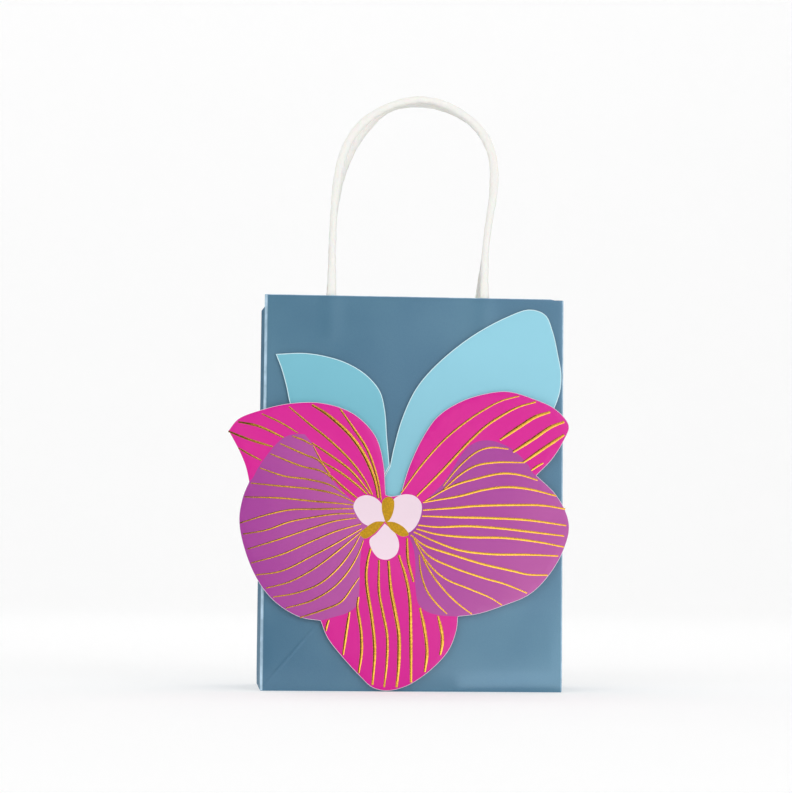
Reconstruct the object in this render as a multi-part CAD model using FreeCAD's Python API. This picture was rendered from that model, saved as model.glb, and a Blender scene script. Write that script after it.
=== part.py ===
"""Gift bag of laminated paper with two twisted paper handles and a layered card orchid on its front.

Frame: origin at the centre of the bag's base, on the surface it stands on. +Z up, the flower faces -Y.
Each flat panel of the folded blank is a solid of its own, so that the walls, turned-in edges and
bottom flaps can be told apart. All sizes are in millimetres.
"""
import FreeCAD
import Part
import math
import os

V = FreeCAD.Vector

# Bag
bag_width = 127.0
bag_depth = 63.5
bag_height = 166.0
paper = 0.25
gusset_push = 2.0  # how far the gusset's middle crease stands in from the corners
hem_height = 30.0
seam_tab_width = 12.0
fold_gap = 0.1  # between panels that meet at a crease
flap_overlap = 10.0  # how far each long bottom flap passes the middle
flap_taper = 8.0
side_flap_reach = 26.0
side_flap_tip = 10.0

# Base board
board_thickness = 1.0
board_gap = 0.5  # all round, at the tightest place on its way up
board_lift_gap = 0.3

# Handles
cord_diameter = 3.0
arch_gap = 0.35  # between the two arches where they lean together over the mouth
handle_start = 1.0  # the free arch starts this far above the top edge
handle_end_width = 5.0
handle_end_thickness = 1.4  # the glued end is pressed flat
handle_end_length = 18.5
patch_height = 20.0
patch_drop = 2.0  # from the top edge to the patch
patch_border = 12.0  # beyond the outer glued end
patch_slope = 1.2  # the patch steps down this far beside each glued end

# Cards on the front
card = 0.4
leaf_pad_thickness = 0.8
flower_pad_thickness = 0.8  # between the leaves and the flower
leaf_pad_radius = 4.0
flower_pad_radius = 6.0

# The handles' routes: sideways from the bag's middle, and up along the leaning arch from the hinge
# line. Each is the corner of a rounded bend, so the cord passes inside it.
front_route = [
    (-35.3, handle_start), (-34.8, 22.0), (-34.0, 44.0), (-31.2, 65.5), (-24.2, 81.0),
    (-10.2, 92.3), (8.0, 96.5), (25.2, 87.8), (34.8, 74.2), (36.2, 56.0), (32.8, 38.0),
    (30.2, 19.0), (29.7, handle_start),
]
back_route = [
    (-32.8, handle_start), (-32.8, 23.0), (-32.7, 45.0), (-29.2, 65.0), (-21.6, 80.3),
    (-10.0, 93.0), (7.5, 95.0), (26.4, 89.0), (37.3, 75.7), (39.0, 58.0), (36.8, 39.5),
    (35.2, 19.5), (33.2, handle_start),
]

# Outlines of the cards, sideways from the bag's middle and up from its base. Each inner list is one
# smooth stretch, and a corner lies where two stretches meet.
flower_outline = [
    [(-78.0, 108.0), (-74.0, 112.9), (-64.0, 117.0), (-52.3, 119.8), (-38.6, 120.1),
     (-25.8, 115.9), (-16.5, 106.8), (-13.0, 96.0), (-11.8, 82.0)],
    [(-11.8, 82.0), (-9.0, 80.0), (-5.6, 82.0)],
    [(-5.6, 82.0), (-2.3, 93.2), (3.2, 105.6), (9.7, 115.1), (18.8, 121.3), (29.0, 124.9),
     (39.4, 126.2), (50.2, 123.3), (59.1, 119.4), (64.6, 114.0), (65.5, 111.2), (63.1, 105.4),
     (58.4, 97.9), (51.7, 90.9)],
    [(51.7, 90.9), (59.5, 83.5), (64.3, 75.6), (65.7, 68.6), (62.9, 58.6), (56.4, 48.0),
     (48.9, 40.8), (37.8, 36.0), (27.5, 32.6), (19.0, 31.4)],
    [(19.0, 31.4), (18.4, 25.6), (15.3, 17.5), (8.3, 9.6), (-1.3, 2.9), (-8.0, 0.7), (-12.8, 0.6),
     (-17.2, 2.1), (-21.9, 6.4), (-28.7, 13.6), (-35.5, 22.1), (-38.5, 29.2)],
    [(-38.5, 29.2), (-47.3, 30.7), (-57.6, 36.9), (-65.2, 46.2), (-70.9, 59.6), (-73.0, 71.0),
     (-71.6, 80.4), (-69.1, 86.8)],
    [(-69.1, 86.8), (-70.6, 93.0), (-73.2, 99.2), (-78.0, 108.0)],
]
left_leaf_outline = [
    [(-58.6, 140.6), (-46.4, 141.2), (-36.2, 139.7), (-28.0, 137.0), (-20.2, 132.2), (-14.6, 125.6),
     (-12.4, 117.5), (-11.4, 106.0), (-9.9, 93.4)],
    [(-9.9, 93.4), (-9.2, 78.0)],
    [(-9.2, 78.0), (-24.0, 84.0), (-40.0, 96.0), (-49.0, 109.0), (-52.5, 120.2), (-54.1, 127.4),
     (-56.2, 134.6), (-58.6, 140.6)],
]
right_leaf_outline = [
    [(-9.5, 93.6), (-8.3, 102.3), (-5.2, 114.0), (0.3, 126.3), (8.0, 136.0), (23.1, 148.8),
     (39.3, 158.1), (48.9, 161.3), (55.5, 159.1), (58.7, 152.0), (61.0, 142.0), (62.4, 133.4),
     (61.3, 124.4), (56.0, 113.5), (44.0, 101.0), (24.0, 88.0), (-8.8, 77.0)],
    [(-8.8, 77.0), (-9.5, 93.6)],
]

# Pad centres, sideways and up.
left_leaf_pads = [(-42.0, 130.0), (-24.0, 104.0)]
right_leaf_pads = [(24.0, 138.0), (46.0, 144.0), (14.0, 108.0)]
flower_bag_pads = [(-54.0, 66.0), (-30.0, 46.0), (46.0, 66.0), (24.0, 48.0), (-10.0, 22.0)]
flower_leaf_pads = [(-34.0, 108.0), (36.0, 112.0)]

half_width = bag_width / 2
half_depth = bag_depth / 2
wall_inside = half_depth - paper
hem_inside = half_depth - 2 * paper
floor_layers = 3 * paper
board_bottom = floor_layers + board_lift_gap
cord_radius = cord_diameter / 2
leg_offset = 2 * paper + cord_radius  # from the wall's outer face to the cord's middle
arch_top = max(along for _, along in front_route + back_route)
arch_reach = half_depth - cord_radius - arch_gap / 2
lean = math.asin(arch_reach / math.hypot(arch_top, leg_offset)) - math.atan2(leg_offset, arch_top)
board_half_length = half_width - 2 * paper - gusset_push - board_gap
board_half_depth = hem_inside - board_gap
patch_bottom = bag_height - patch_drop - patch_height
leaf_back = -half_depth - leaf_pad_thickness
leaf_front = leaf_back - card
flower_back = leaf_front - flower_pad_thickness


def block(x0, x1, y0, y1, z0, z1):
    return Part.makeBox(x1 - x0, y1 - y0, z1 - z0, V(x0, y0, z0))


def floor_plate(outline, z0, z1):
    """A flat plate from its outline seen from above."""
    points = [V(x, y, z0) for x, y in outline]
    face = Part.Face(Part.makePolygon(points + points[:1]))
    return face.extrude(V(0, 0, z1 - z0))


def card_plate(stretches, back, thickness):
    """A card facing -Y whose back lies at y = back."""
    edges = []
    for stretch in stretches:
        points = [V(x, back, z) for x, z in stretch]
        if len(points) == 2:
            edges.append(Part.makeLine(points[0], points[1]))
        else:
            curve = Part.BSplineCurve()
            curve.interpolate(points)
            edges.append(curve.toShape())
    face = Part.Face(Part.Wire(edges))
    return face.extrude(V(0, -thickness, 0))


def mirrored(shape, across_x, across_y):
    """The shape on the other side of the bag: across_x swaps left and right, across_y front and back."""
    if across_x:
        shape = shape.mirror(V(0, 0, 0), V(1, 0, 0))
    if across_y:
        shape = shape.mirror(V(0, 0, 0), V(0, 1, 0))
    return shape


def save(name, *solids):
    shape = solids[0] if len(solids) == 1 else Part.makeCompound(solids)
    shape.exportStep(os.path.join("parts", name + ".step"))
    print(name, "solids", len(solids), "volume", round(shape.Volume, 2), "valid", shape.isValid())


def front_wall():
    return block(-half_width, half_width, -half_depth, -wall_inside, 0, bag_height)


def gusset():
    """The left gusset: a low triangle at the base, and two halves that lean in to the middle crease."""
    crease_foot = half_depth - paper
    outer = [
        V(-half_width, -wall_inside, 0), V(-half_width, wall_inside, 0),
        V(-half_width, wall_inside, bag_height), V(-half_width + gusset_push, 0, bag_height),
        V(-half_width, -wall_inside, bag_height), V(-half_width + gusset_push, 0, crease_foot),
    ]
    inner = [point + V(paper, 0, 0) for point in outer]
    facets = [(0, 1, 5), (1, 2, 3, 5), (5, 3, 4, 0)]
    rim = [(0, 1), (1, 2), (2, 3), (3, 4), (4, 0)]
    polygons = [[outer[i] for i in facet] for facet in facets]
    polygons += [[inner[i] for i in facet] for facet in facets]
    polygons += [[outer[i], outer[j], inner[j], inner[i]] for i, j in rim]
    faces = [Part.Face(Part.makePolygon(points + points[:1])) for points in polygons]
    solid = Part.Solid(Part.Shell(faces))
    if solid.Volume < 0:
        solid.reverse()
    return solid


def gusset_hem():
    """The left gusset's turned-in top edge, lying on the gusset's inside."""
    bend = gusset_push * (1 - hem_inside / wall_inside)
    x = -half_width + paper
    outline = [
        (x + bend, -hem_inside), (x + gusset_push, 0), (x + bend, hem_inside),
        (x + bend + paper, hem_inside), (x + gusset_push + paper, 0), (x + bend + paper, -hem_inside),
    ]
    return floor_plate(outline, bag_height - hem_height, bag_height)


def front_hem():
    edge = half_width - paper - fold_gap
    return block(-edge, edge, -wall_inside, -hem_inside, bag_height - hem_height, bag_height)


def seam_tab():
    """The blank's glue tab, inside the back wall beside the left gusset."""
    x = -half_width + paper + fold_gap
    z = floor_layers + fold_gap
    top = bag_height - hem_height - fold_gap
    return block(x, x + seam_tab_width, hem_inside, wall_inside, z, top)


def long_flap(layer):
    """The bottom flap of the front wall, in the given layer above the ground."""
    edge = half_width - paper - 2 * fold_gap
    outline = [
        (-edge, -wall_inside), (edge, -wall_inside), (edge, 0), (edge - flap_taper, flap_overlap),
        (flap_taper - edge, flap_overlap), (-edge, 0),
    ]
    return floor_plate(outline, layer * paper, (layer + 1) * paper)


def side_flap(layer):
    """The bottom flap of the left gusset."""
    edge = half_width - paper - 2 * fold_gap
    outline = [
        (-edge, -wall_inside), (side_flap_reach - edge, -side_flap_tip / 2),
        (side_flap_reach - edge, side_flap_tip / 2), (-edge, wall_inside),
    ]
    return floor_plate(outline, layer * paper, (layer + 1) * paper)


def base_board():
    return block(
        -board_half_length, board_half_length, -board_half_depth, board_half_depth,
        board_bottom, board_bottom + board_thickness,
    )


def arch_point(x, along):
    """A point of the front handle's arch, from its sideways place and its height along the lean."""
    y = -half_depth + leg_offset * math.cos(lean) + along * math.sin(lean)
    z = bag_height - leg_offset * math.sin(lean) + along * math.cos(lean)
    return V(x, y, z)


def cord(route, name):
    """A round cord along straight runs joined by the largest tangent arcs that fit."""
    corners = [arch_point(x, along) for x, along in route]
    edges = []
    radii = []
    start = corners[0]
    for before, corner, after in zip(corners, corners[1:], corners[2:]):
        towards = (before - corner).normalize()
        away = (after - corner).normalize()
        reach = 0.45 * min(before.distanceToPoint(corner), after.distanceToPoint(corner))
        half_turn = (math.pi - towards.getAngle(away)) / 2
        radius = reach / math.tan(half_turn)
        radii.append(round(radius, 1))
        begin = corner + towards * reach
        end = corner + away * reach
        inward = (towards + away).normalize()
        middle = corner + inward * (radius / math.cos(half_turn) - radius)
        edges.append(Part.makeLine(start, begin))
        edges.append(Part.Arc(begin, middle, end).toShape())
        start = end
    edges.append(Part.makeLine(start, corners[-1]))
    path = Part.Wire(edges)
    direction = (corners[1] - corners[0]).normalize()
    section = Part.Wire([Part.makeCircle(cord_radius, corners[0], direction)])
    tube = path.makePipeShell([section], True, False)
    expected = math.pi * cord_radius ** 2 * path.Length
    print(name, "length", round(path.Length, 1), "radii", radii)
    print(name, "tube volume over section times length", round(tube.Volume / expected, 4))
    return tube


def glued_ends(route):
    """The two flattened ends of the front handle, on the turned-in edge."""
    inside = -hem_inside + handle_end_thickness
    half = handle_end_width / 2
    bottom = bag_height - handle_end_length
    feet = [route[0][0], route[-1][0]]
    return [block(x - half, x + half, -hem_inside, inside, bottom, bag_height) for x in feet]


def patch(route):
    """The paper patch over the glued ends, which steps out round each of them."""
    half = handle_end_width / 2
    left = route[0][0]
    right = route[-1][0]
    profile = [(left - patch_border, 0)]
    for foot in (left, right):
        profile += [
            (foot - half - patch_slope, 0), (foot - half, handle_end_thickness),
            (foot + half, handle_end_thickness), (foot + half + patch_slope, 0),
        ]
    profile.append((right + patch_border, 0))
    outer = [(x, -hem_inside + rise) for x, rise in profile]
    inner = [(x, y + paper) for x, y in reversed(outer)]
    return floor_plate(outer + inner, patch_bottom, patch_bottom + patch_height)


def pads(centres, radius, back, thickness):
    return [Part.makeCylinder(radius, thickness, V(x, back, z), V(0, -1, 0)) for x, z in centres]


def main():
    os.makedirs("parts", exist_ok=True)

    save("front_panel", front_wall())
    save("back_panel", mirrored(front_wall(), False, True))
    save("left_gusset", gusset())
    save("right_gusset", mirrored(gusset(), True, False))
    save("side_seam_tab", seam_tab())
    save("front_hem", front_hem())
    save("back_hem", mirrored(front_hem(), False, True))
    save("left_hem", gusset_hem())
    save("right_hem", mirrored(gusset_hem(), True, False))
    save("front_base_flap", long_flap(0))
    save("back_base_flap", mirrored(long_flap(1), False, True))
    save("left_base_flap", side_flap(2))
    save("right_base_flap", mirrored(side_flap(2), True, False))
    save("base_board", base_board())

    save("front_handle", cord(front_route, "front_handle"))
    save("front_handle_ends", *glued_ends(front_route))
    save("front_handle_patch", patch(front_route))
    save("back_handle", mirrored(cord(back_route, "back_handle"), False, True))
    save("back_handle_ends", *[mirrored(end, False, True) for end in glued_ends(back_route)])
    save("back_handle_patch", mirrored(patch(back_route), False, True))

    save("left_leaf_card", card_plate(left_leaf_outline, leaf_back, card))
    save("right_leaf_card", card_plate(right_leaf_outline, leaf_back, card))
    save("flower_card", card_plate(flower_outline, flower_back, card))
    save("left_leaf_pads", *pads(left_leaf_pads, leaf_pad_radius, -half_depth, leaf_pad_thickness))
    save("right_leaf_pads", *pads(right_leaf_pads, leaf_pad_radius, -half_depth, leaf_pad_thickness))
    deep = leaf_pad_thickness + card + flower_pad_thickness
    on_bag = pads(flower_bag_pads, flower_pad_radius, -half_depth, deep)
    on_leaves = pads(flower_leaf_pads, flower_pad_radius, leaf_front, flower_pad_thickness)
    save("flower_pads", *on_bag, *on_leaves)

    lift = patch_bottom - board_bottom - board_thickness - board_lift_gap
    print("base board lifts", round(lift, 2))


main()
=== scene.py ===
"""Finished look of a paper gift bag with twisted handles and a layered card orchid.

Every piece is built in metres in the bag's own frame: +Z up, the flower faces -Y.
"""
import math

import bpy
import numpy as np
from bpy.props import FloatProperty, FloatVectorProperty, IntProperty, PointerProperty
from mathutils import Matrix, Vector, geometry


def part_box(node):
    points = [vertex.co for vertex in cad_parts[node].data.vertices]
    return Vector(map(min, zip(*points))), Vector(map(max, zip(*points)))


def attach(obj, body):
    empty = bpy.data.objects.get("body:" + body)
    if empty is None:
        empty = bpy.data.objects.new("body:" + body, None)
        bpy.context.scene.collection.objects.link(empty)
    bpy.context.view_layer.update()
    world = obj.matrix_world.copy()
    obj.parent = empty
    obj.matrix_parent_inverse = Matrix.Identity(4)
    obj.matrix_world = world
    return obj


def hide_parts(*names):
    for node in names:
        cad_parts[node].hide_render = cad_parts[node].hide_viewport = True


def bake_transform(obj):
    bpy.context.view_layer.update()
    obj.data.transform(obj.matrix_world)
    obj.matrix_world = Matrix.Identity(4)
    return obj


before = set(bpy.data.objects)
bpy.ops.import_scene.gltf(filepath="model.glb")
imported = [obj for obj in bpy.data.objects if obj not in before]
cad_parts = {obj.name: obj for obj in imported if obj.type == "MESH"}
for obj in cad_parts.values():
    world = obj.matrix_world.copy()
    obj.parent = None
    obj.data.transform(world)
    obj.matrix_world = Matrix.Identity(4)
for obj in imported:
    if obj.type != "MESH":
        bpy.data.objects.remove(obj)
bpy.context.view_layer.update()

bl_info = {
    "name": "Orchid Gift Bag",
    "version": (1, 0, 0),
    "blender": (4, 5, 0),
    "location": "View3D > Sidebar > Gift Bag",
    "description": "Builds a paper gift bag with twisted handles and a layered card orchid",
    "category": "Add Mesh",
}

MM = 0.001


def linear(red, green, blue):
    """A linear colour from screen values of 0 to 255."""
    values = []
    for value in (red, green, blue):
        share = value / 255
        values.append(share / 12.92 if share <= 0.04045 else ((share + 0.055) / 1.055) ** 2.4)
    return tuple(values)


def length_property(name, description, default):
    return FloatProperty(name=name, description=description, default=default, unit="LENGTH", precision=5)


def colour_property(name, description, screen):
    return FloatVectorProperty(
        name=name, description=description, default=linear(*screen), subtype="COLOR", size=3, min=0.0, max=1.0
    )


# Sizes and colours


class GIFTBAG_PG_bag(bpy.types.PropertyGroup):
    """Sizes and colours of the folded bag."""

    paper: length_property("Paper", "Thickness of the laminated paper", 0.24 * MM)
    hem_gap: length_property("Hem gap", "From the outer face to the face of the turned-in edge", 0.55 * MM)
    fold_radius: length_property("Fold radius", "Roundness of the four standing folds", 0.8 * MM)
    panel_sag: length_property("Panel sag", "How far the wide walls sink in at their middle", 0.35 * MM)
    ripple: length_property("Ripple", "Depth of the paper's slow ripple", 0.1 * MM)
    base_tuck: length_property("Base tuck", "How far the walls draw in at the very bottom", 0.1 * MM)
    base_swell: length_property("Base swell", "How far the wide walls stand out just above the base", 0.9 * MM)
    grid_step: length_property("Grid step", "Spacing of the skin's mesh", 1.6 * MM)
    paper_colour: colour_property("Paper colour", "Pearl laminate on the outside", (64, 111, 141))
    pearl_colour: colour_property("Pearl colour", "Lighter patches in the pearl", (88, 135, 158))
    inside_colour: colour_property("Inside colour", "Uncoated inside of the paper", (236, 235, 230))
    board_colour: colour_property("Board colour", "Grey board in the base", (176, 172, 163))


class GIFTBAG_PG_handles(bpy.types.PropertyGroup):
    """Sizes and colours of the handles."""

    twist_pitch: length_property("Twist pitch", "Length of one turn of the twisted paper", 11.0 * MM)
    groove: FloatProperty(name="Groove", description="Depth of the twist, as a share of the radius", default=0.11)
    ring_step: length_property("Ring step", "Spacing of the cord's rings", 0.5 * MM)
    ring_points: IntProperty(name="Ring points", description="Points round the cord", default=28, min=12)
    cord_colour: colour_property("Cord colour", "White twisted paper", (246, 245, 240))
    patch_colour: colour_property("Patch colour", "Paper patch over the glued ends", (229, 227, 219))


class GIFTBAG_PG_orchid(bpy.types.PropertyGroup):
    """Sizes and colours of the leaf and flower cards."""

    leaf_rim: length_property("Leaf edge width", "Width of the pale rim round the leaves", 0.34 * MM)
    rim: length_property("Cut edge", "Width of the pale rim that the cutting die leaves", 0.16 * MM)
    rim_drop: length_property("Edge drop", "How far the rim falls back from the printed face", 0.09 * MM)
    curl: length_property("Curl", "How far the wide petals' tips stand forward", 0.7 * MM)
    foil_height: FloatProperty(name="Foil height", description="A vein's height as a share of its width", default=0.08)
    foil_noise: FloatProperty(name="Foil raggedness", description="How much a vein's width wanders", default=0.34)
    leaf_colour: colour_property("Leaf colour", "Pale blue card", (130, 190, 207))
    # Painted shade: the left leaf takes this darker copy of the leaf colour, as if turned away from the light on the
    # right.
    painted_shade_leaf_colour: colour_property("Deep leaf colour", "The smaller leaf's print", (112, 180, 197))
    pink_colour: colour_property("Pink", "Print at the petals' roots", (212, 16, 144))
    pale_pink_colour: colour_property("Pale pink", "Print at the petals' tips", (222, 74, 152))
    # The two purples are one print lit unevenly: the paler purple towards the right is painted light, the deeper one
    # on the left is painted shade.
    purple_colour: colour_property("Purple", "Print of the left wide petal", (162, 58, 150))
    painted_light_purple_colour: colour_property("Pale purple", "Print of the right wide petal", (188, 92, 162))
    lobe_colour: colour_property("Lobes", "Pale print of the three lobes", (238, 216, 228))
    heart_colour: colour_property("Heart", "Gold of the three-lobed heart", (206, 156, 16))
    foil_colour: colour_property("Foil", "Stamped gold foil", (250, 190, 80))
    leaf_edge_colour: colour_property("Leaf edge", "Tinted card at the leaves' cut", (206, 236, 244))
    edge_colour: colour_property("Card edge", "Bare card at the cut", (236, 224, 236))


class GIFTBAG_PG_stage(bpy.types.PropertyGroup):
    """The camera, the sweep and the lights."""

    camera_place: FloatVectorProperty(
        name="Camera place", description="Where the camera stands",
        default=(-0.08634, -1.02829, 0.04827), unit="LENGTH",
    )
    camera_turn: FloatVectorProperty(
        name="Camera turn", description="Swing to the right, tilt up and roll",
        default=(math.radians(4.512), math.radians(4.307), math.radians(0.551)), unit="ROTATION",
    )
    lens: FloatProperty(name="Lens", description="Focal length in millimetres", default=107.96)
    sweep_colour: colour_property("Sweep colour", "Pale floor and backdrop", (206, 206, 206))
    key_power: FloatProperty(name="Key light", description="Power of the large light, in watts", default=7.0)
    side_power: FloatProperty(name="Side light", description="Power of the light on the right, in watts", default=2.0)
    top_power: FloatProperty(name="Top light", description="Power of the light overhead, in watts", default=7.0)
    glow: FloatProperty(name="Sweep glow", description="Light that the sweep gives off by itself", default=0.42)
    sky_strength: FloatProperty(name="Sky", description="Strength of the light from all round", default=0.3)


# Plan of the handles: sideways and up along the leaning arch from the fold, in millimetres

HANDLE_ROUTES = {
    "front_handle": [
        (-35.3, 1.0), (-34.8, 22.0), (-34.0, 44.0), (-31.2, 65.5), (-24.2, 81.0), (-10.2, 92.3), (8.0, 96.5),
        (25.2, 87.8), (34.8, 74.2), (36.2, 56.0), (32.8, 38.0), (30.2, 19.0), (29.7, 1.0),
    ],
    "back_handle": [
        (-32.8, 1.0), (-32.8, 23.0), (-32.7, 45.0), (-29.2, 65.0), (-21.6, 80.3), (-10.0, 93.0), (7.5, 95.0),
        (26.4, 89.0), (37.3, 75.7), (39.0, 58.0), (36.8, 39.5), (35.2, 19.5), (33.2, 1.0),
    ],
}

# Plan of the cards: sideways and up in millimetres, one list for each smooth stretch of an outline

LEFT_LEAF = [
    [(-58.6, 140.6), (-46.4, 141.2), (-36.2, 139.7), (-28.0, 137.0), (-20.2, 132.2), (-14.6, 125.6),
     (-12.4, 117.5), (-11.4, 106.0), (-10.2, 94.2)],
    [(-10.2, 94.2), (-13.0, 88.2), (-13.4, 79.6)],
    [(-13.4, 79.6), (-24.0, 84.0), (-40.0, 96.0), (-49.0, 109.0), (-52.5, 120.2), (-54.1, 127.4),
     (-56.2, 134.6), (-58.6, 140.6)],
]
RIGHT_LEAF = [
    [(-10.1, 94.0), (-8.4, 102.3), (-5.2, 114.0), (0.3, 126.3), (8.0, 136.0), (23.1, 148.8), (39.3, 158.1),
     (48.9, 161.3), (55.5, 159.1), (58.7, 152.0), (61.0, 142.0), (62.4, 133.4), (61.3, 124.4),
     (56.0, 113.5), (44.0, 101.0), (24.0, 88.0), (-8.8, 77.0)],
    [(-8.8, 77.0), (-13.35, 79.4)],
    [(-13.35, 79.4), (-12.95, 88.0), (-10.1, 94.0)],
]
FLOWER = [
    [(-78.0, 108.0), (-74.0, 112.9), (-64.0, 117.0), (-52.3, 119.8), (-38.6, 120.1), (-25.8, 115.9),
     (-16.5, 106.8), (-13.0, 96.0), (-11.8, 82.0)],
    [(-11.8, 82.0), (-9.8, 81.4), (-5.6, 82.0)],
    [(-5.6, 82.0), (-2.3, 93.2), (3.2, 105.6), (9.7, 115.1), (18.8, 121.3), (29.0, 124.9), (39.4, 126.2),
     (50.2, 123.3), (59.1, 119.4), (64.6, 114.0), (65.5, 111.2), (63.1, 105.4), (58.4, 97.9), (51.7, 90.9)],
    [(51.7, 90.9), (59.5, 83.5), (64.3, 75.6), (65.7, 68.6), (62.9, 58.6), (56.4, 48.0), (48.9, 40.8),
     (37.8, 36.0), (27.5, 32.6), (19.0, 31.4)],
    [(19.0, 31.4), (18.4, 25.6), (15.3, 17.5), (8.3, 9.6), (-1.3, 2.9), (-8.0, 0.7), (-12.8, 0.6),
     (-17.2, 2.1), (-21.9, 6.4), (-28.7, 13.6), (-35.5, 22.1), (-38.5, 29.2)],
    [(-38.5, 29.2), (-47.3, 30.7), (-57.6, 36.9), (-65.2, 46.2), (-70.9, 59.6), (-73.0, 71.0),
     (-71.6, 80.4), (-69.1, 86.8)],
    [(-69.1, 86.8), (-70.6, 93.0), (-73.2, 99.2), (-78.0, 108.0)],
]

# Printed areas of the flower. Where an area runs to the card's edge it is drawn past it.
PRINTS = {
    "heart": [
        [[(-11.8, 70.4), (-13.4, 76.0), (-12.9, 79.9), (-10.5, 81.2), (-8.5, 80.0), (-8.4, 75.6), (-10.2, 71.4),
          (-11.8, 70.4)]],
        [[(-12.0, 70.8), (-16.2, 70.6), (-20.0, 68.2), (-22.6, 65.6), (-20.6, 63.6), (-16.8, 65.4), (-12.0, 70.8)]],
        [[(-12.0, 70.8), (-7.8, 70.5), (-3.8, 68.2), (-2.0, 65.4), (-4.6, 64.6), (-9.2, 67.2), (-12.0, 70.8)]],
    ],
    "lobe": [
        [[(-12.0, 71.0), (-12.4, 76.0), (-15.2, 80.0), (-19.4, 81.7), (-23.4, 80.6), (-25.3, 77.2), (-23.8, 73.2),
          (-21.0, 69.9), (-17.0, 68.6), (-12.0, 71.0)]],
        [[(-11.6, 71.0), (-9.8, 75.6), (-8.4, 80.2), (-4.4, 82.2), (0.2, 81.7), (3.1, 78.8), (3.1, 73.8), (0.6, 68.4),
          (-2.6, 66.2), (-6.0, 68.6), (-11.6, 71.0)]],
        [[(-12.1, 70.0), (-15.4, 66.0), (-18.4, 63.0), (-17.2, 58.6), (-14.2, 55.4), (-10.4, 55.0), (-7.1, 57.2),
          (-6.0, 61.2), (-7.6, 65.8), (-12.1, 70.0)]],
    ],
    "left_purple": [
        [[(-86.0, 84.0), (-69.1, 86.8), (-65.1, 93.0), (-59.3, 101.1), (-54.8, 105.4), (-50.4, 106.9), (-46.0, 106.9)],
         [(-46.0, 106.9), (-42.6, 102.6), (-38.8, 95.0), (-34.6, 88.7), (-30.4, 83.6), (-24.0, 78.0)],
         [(-24.0, 78.0), (-14.0, 72.0), (-20.6, 64.0), (-22.2, 55.0), (-22.4, 46.0), (-23.4, 36.0), (-27.4, 32.6),
          (-33.0, 30.8), (-38.5, 29.2)],
         [(-38.5, 29.2), (-42.0, 20.0), (-86.0, 20.0), (-86.0, 84.0)]],
    ],
    "right_purple": [
        [[(86.0, 90.0), (51.7, 90.9), (48.0, 95.6), (43.8, 99.9), (39.2, 103.1), (33.8, 105.1), (28.4, 105.3),
          (23.3, 103.0), (19.6, 98.8), (15.9, 92.5), (12.0, 86.8), (4.0, 79.0)],
         [(4.0, 79.0), (-6.0, 70.0), (-2.4, 65.6), (0.0, 60.0), (0.9, 54.0), (1.0, 44.0), (2.5, 36.4), (5.9, 33.4),
          (10.8, 32.0), (19.0, 31.4)],
         [(19.0, 31.4), (30.0, 20.0), (86.0, 20.0), (86.0, 90.0)]],
    ],
}

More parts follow.
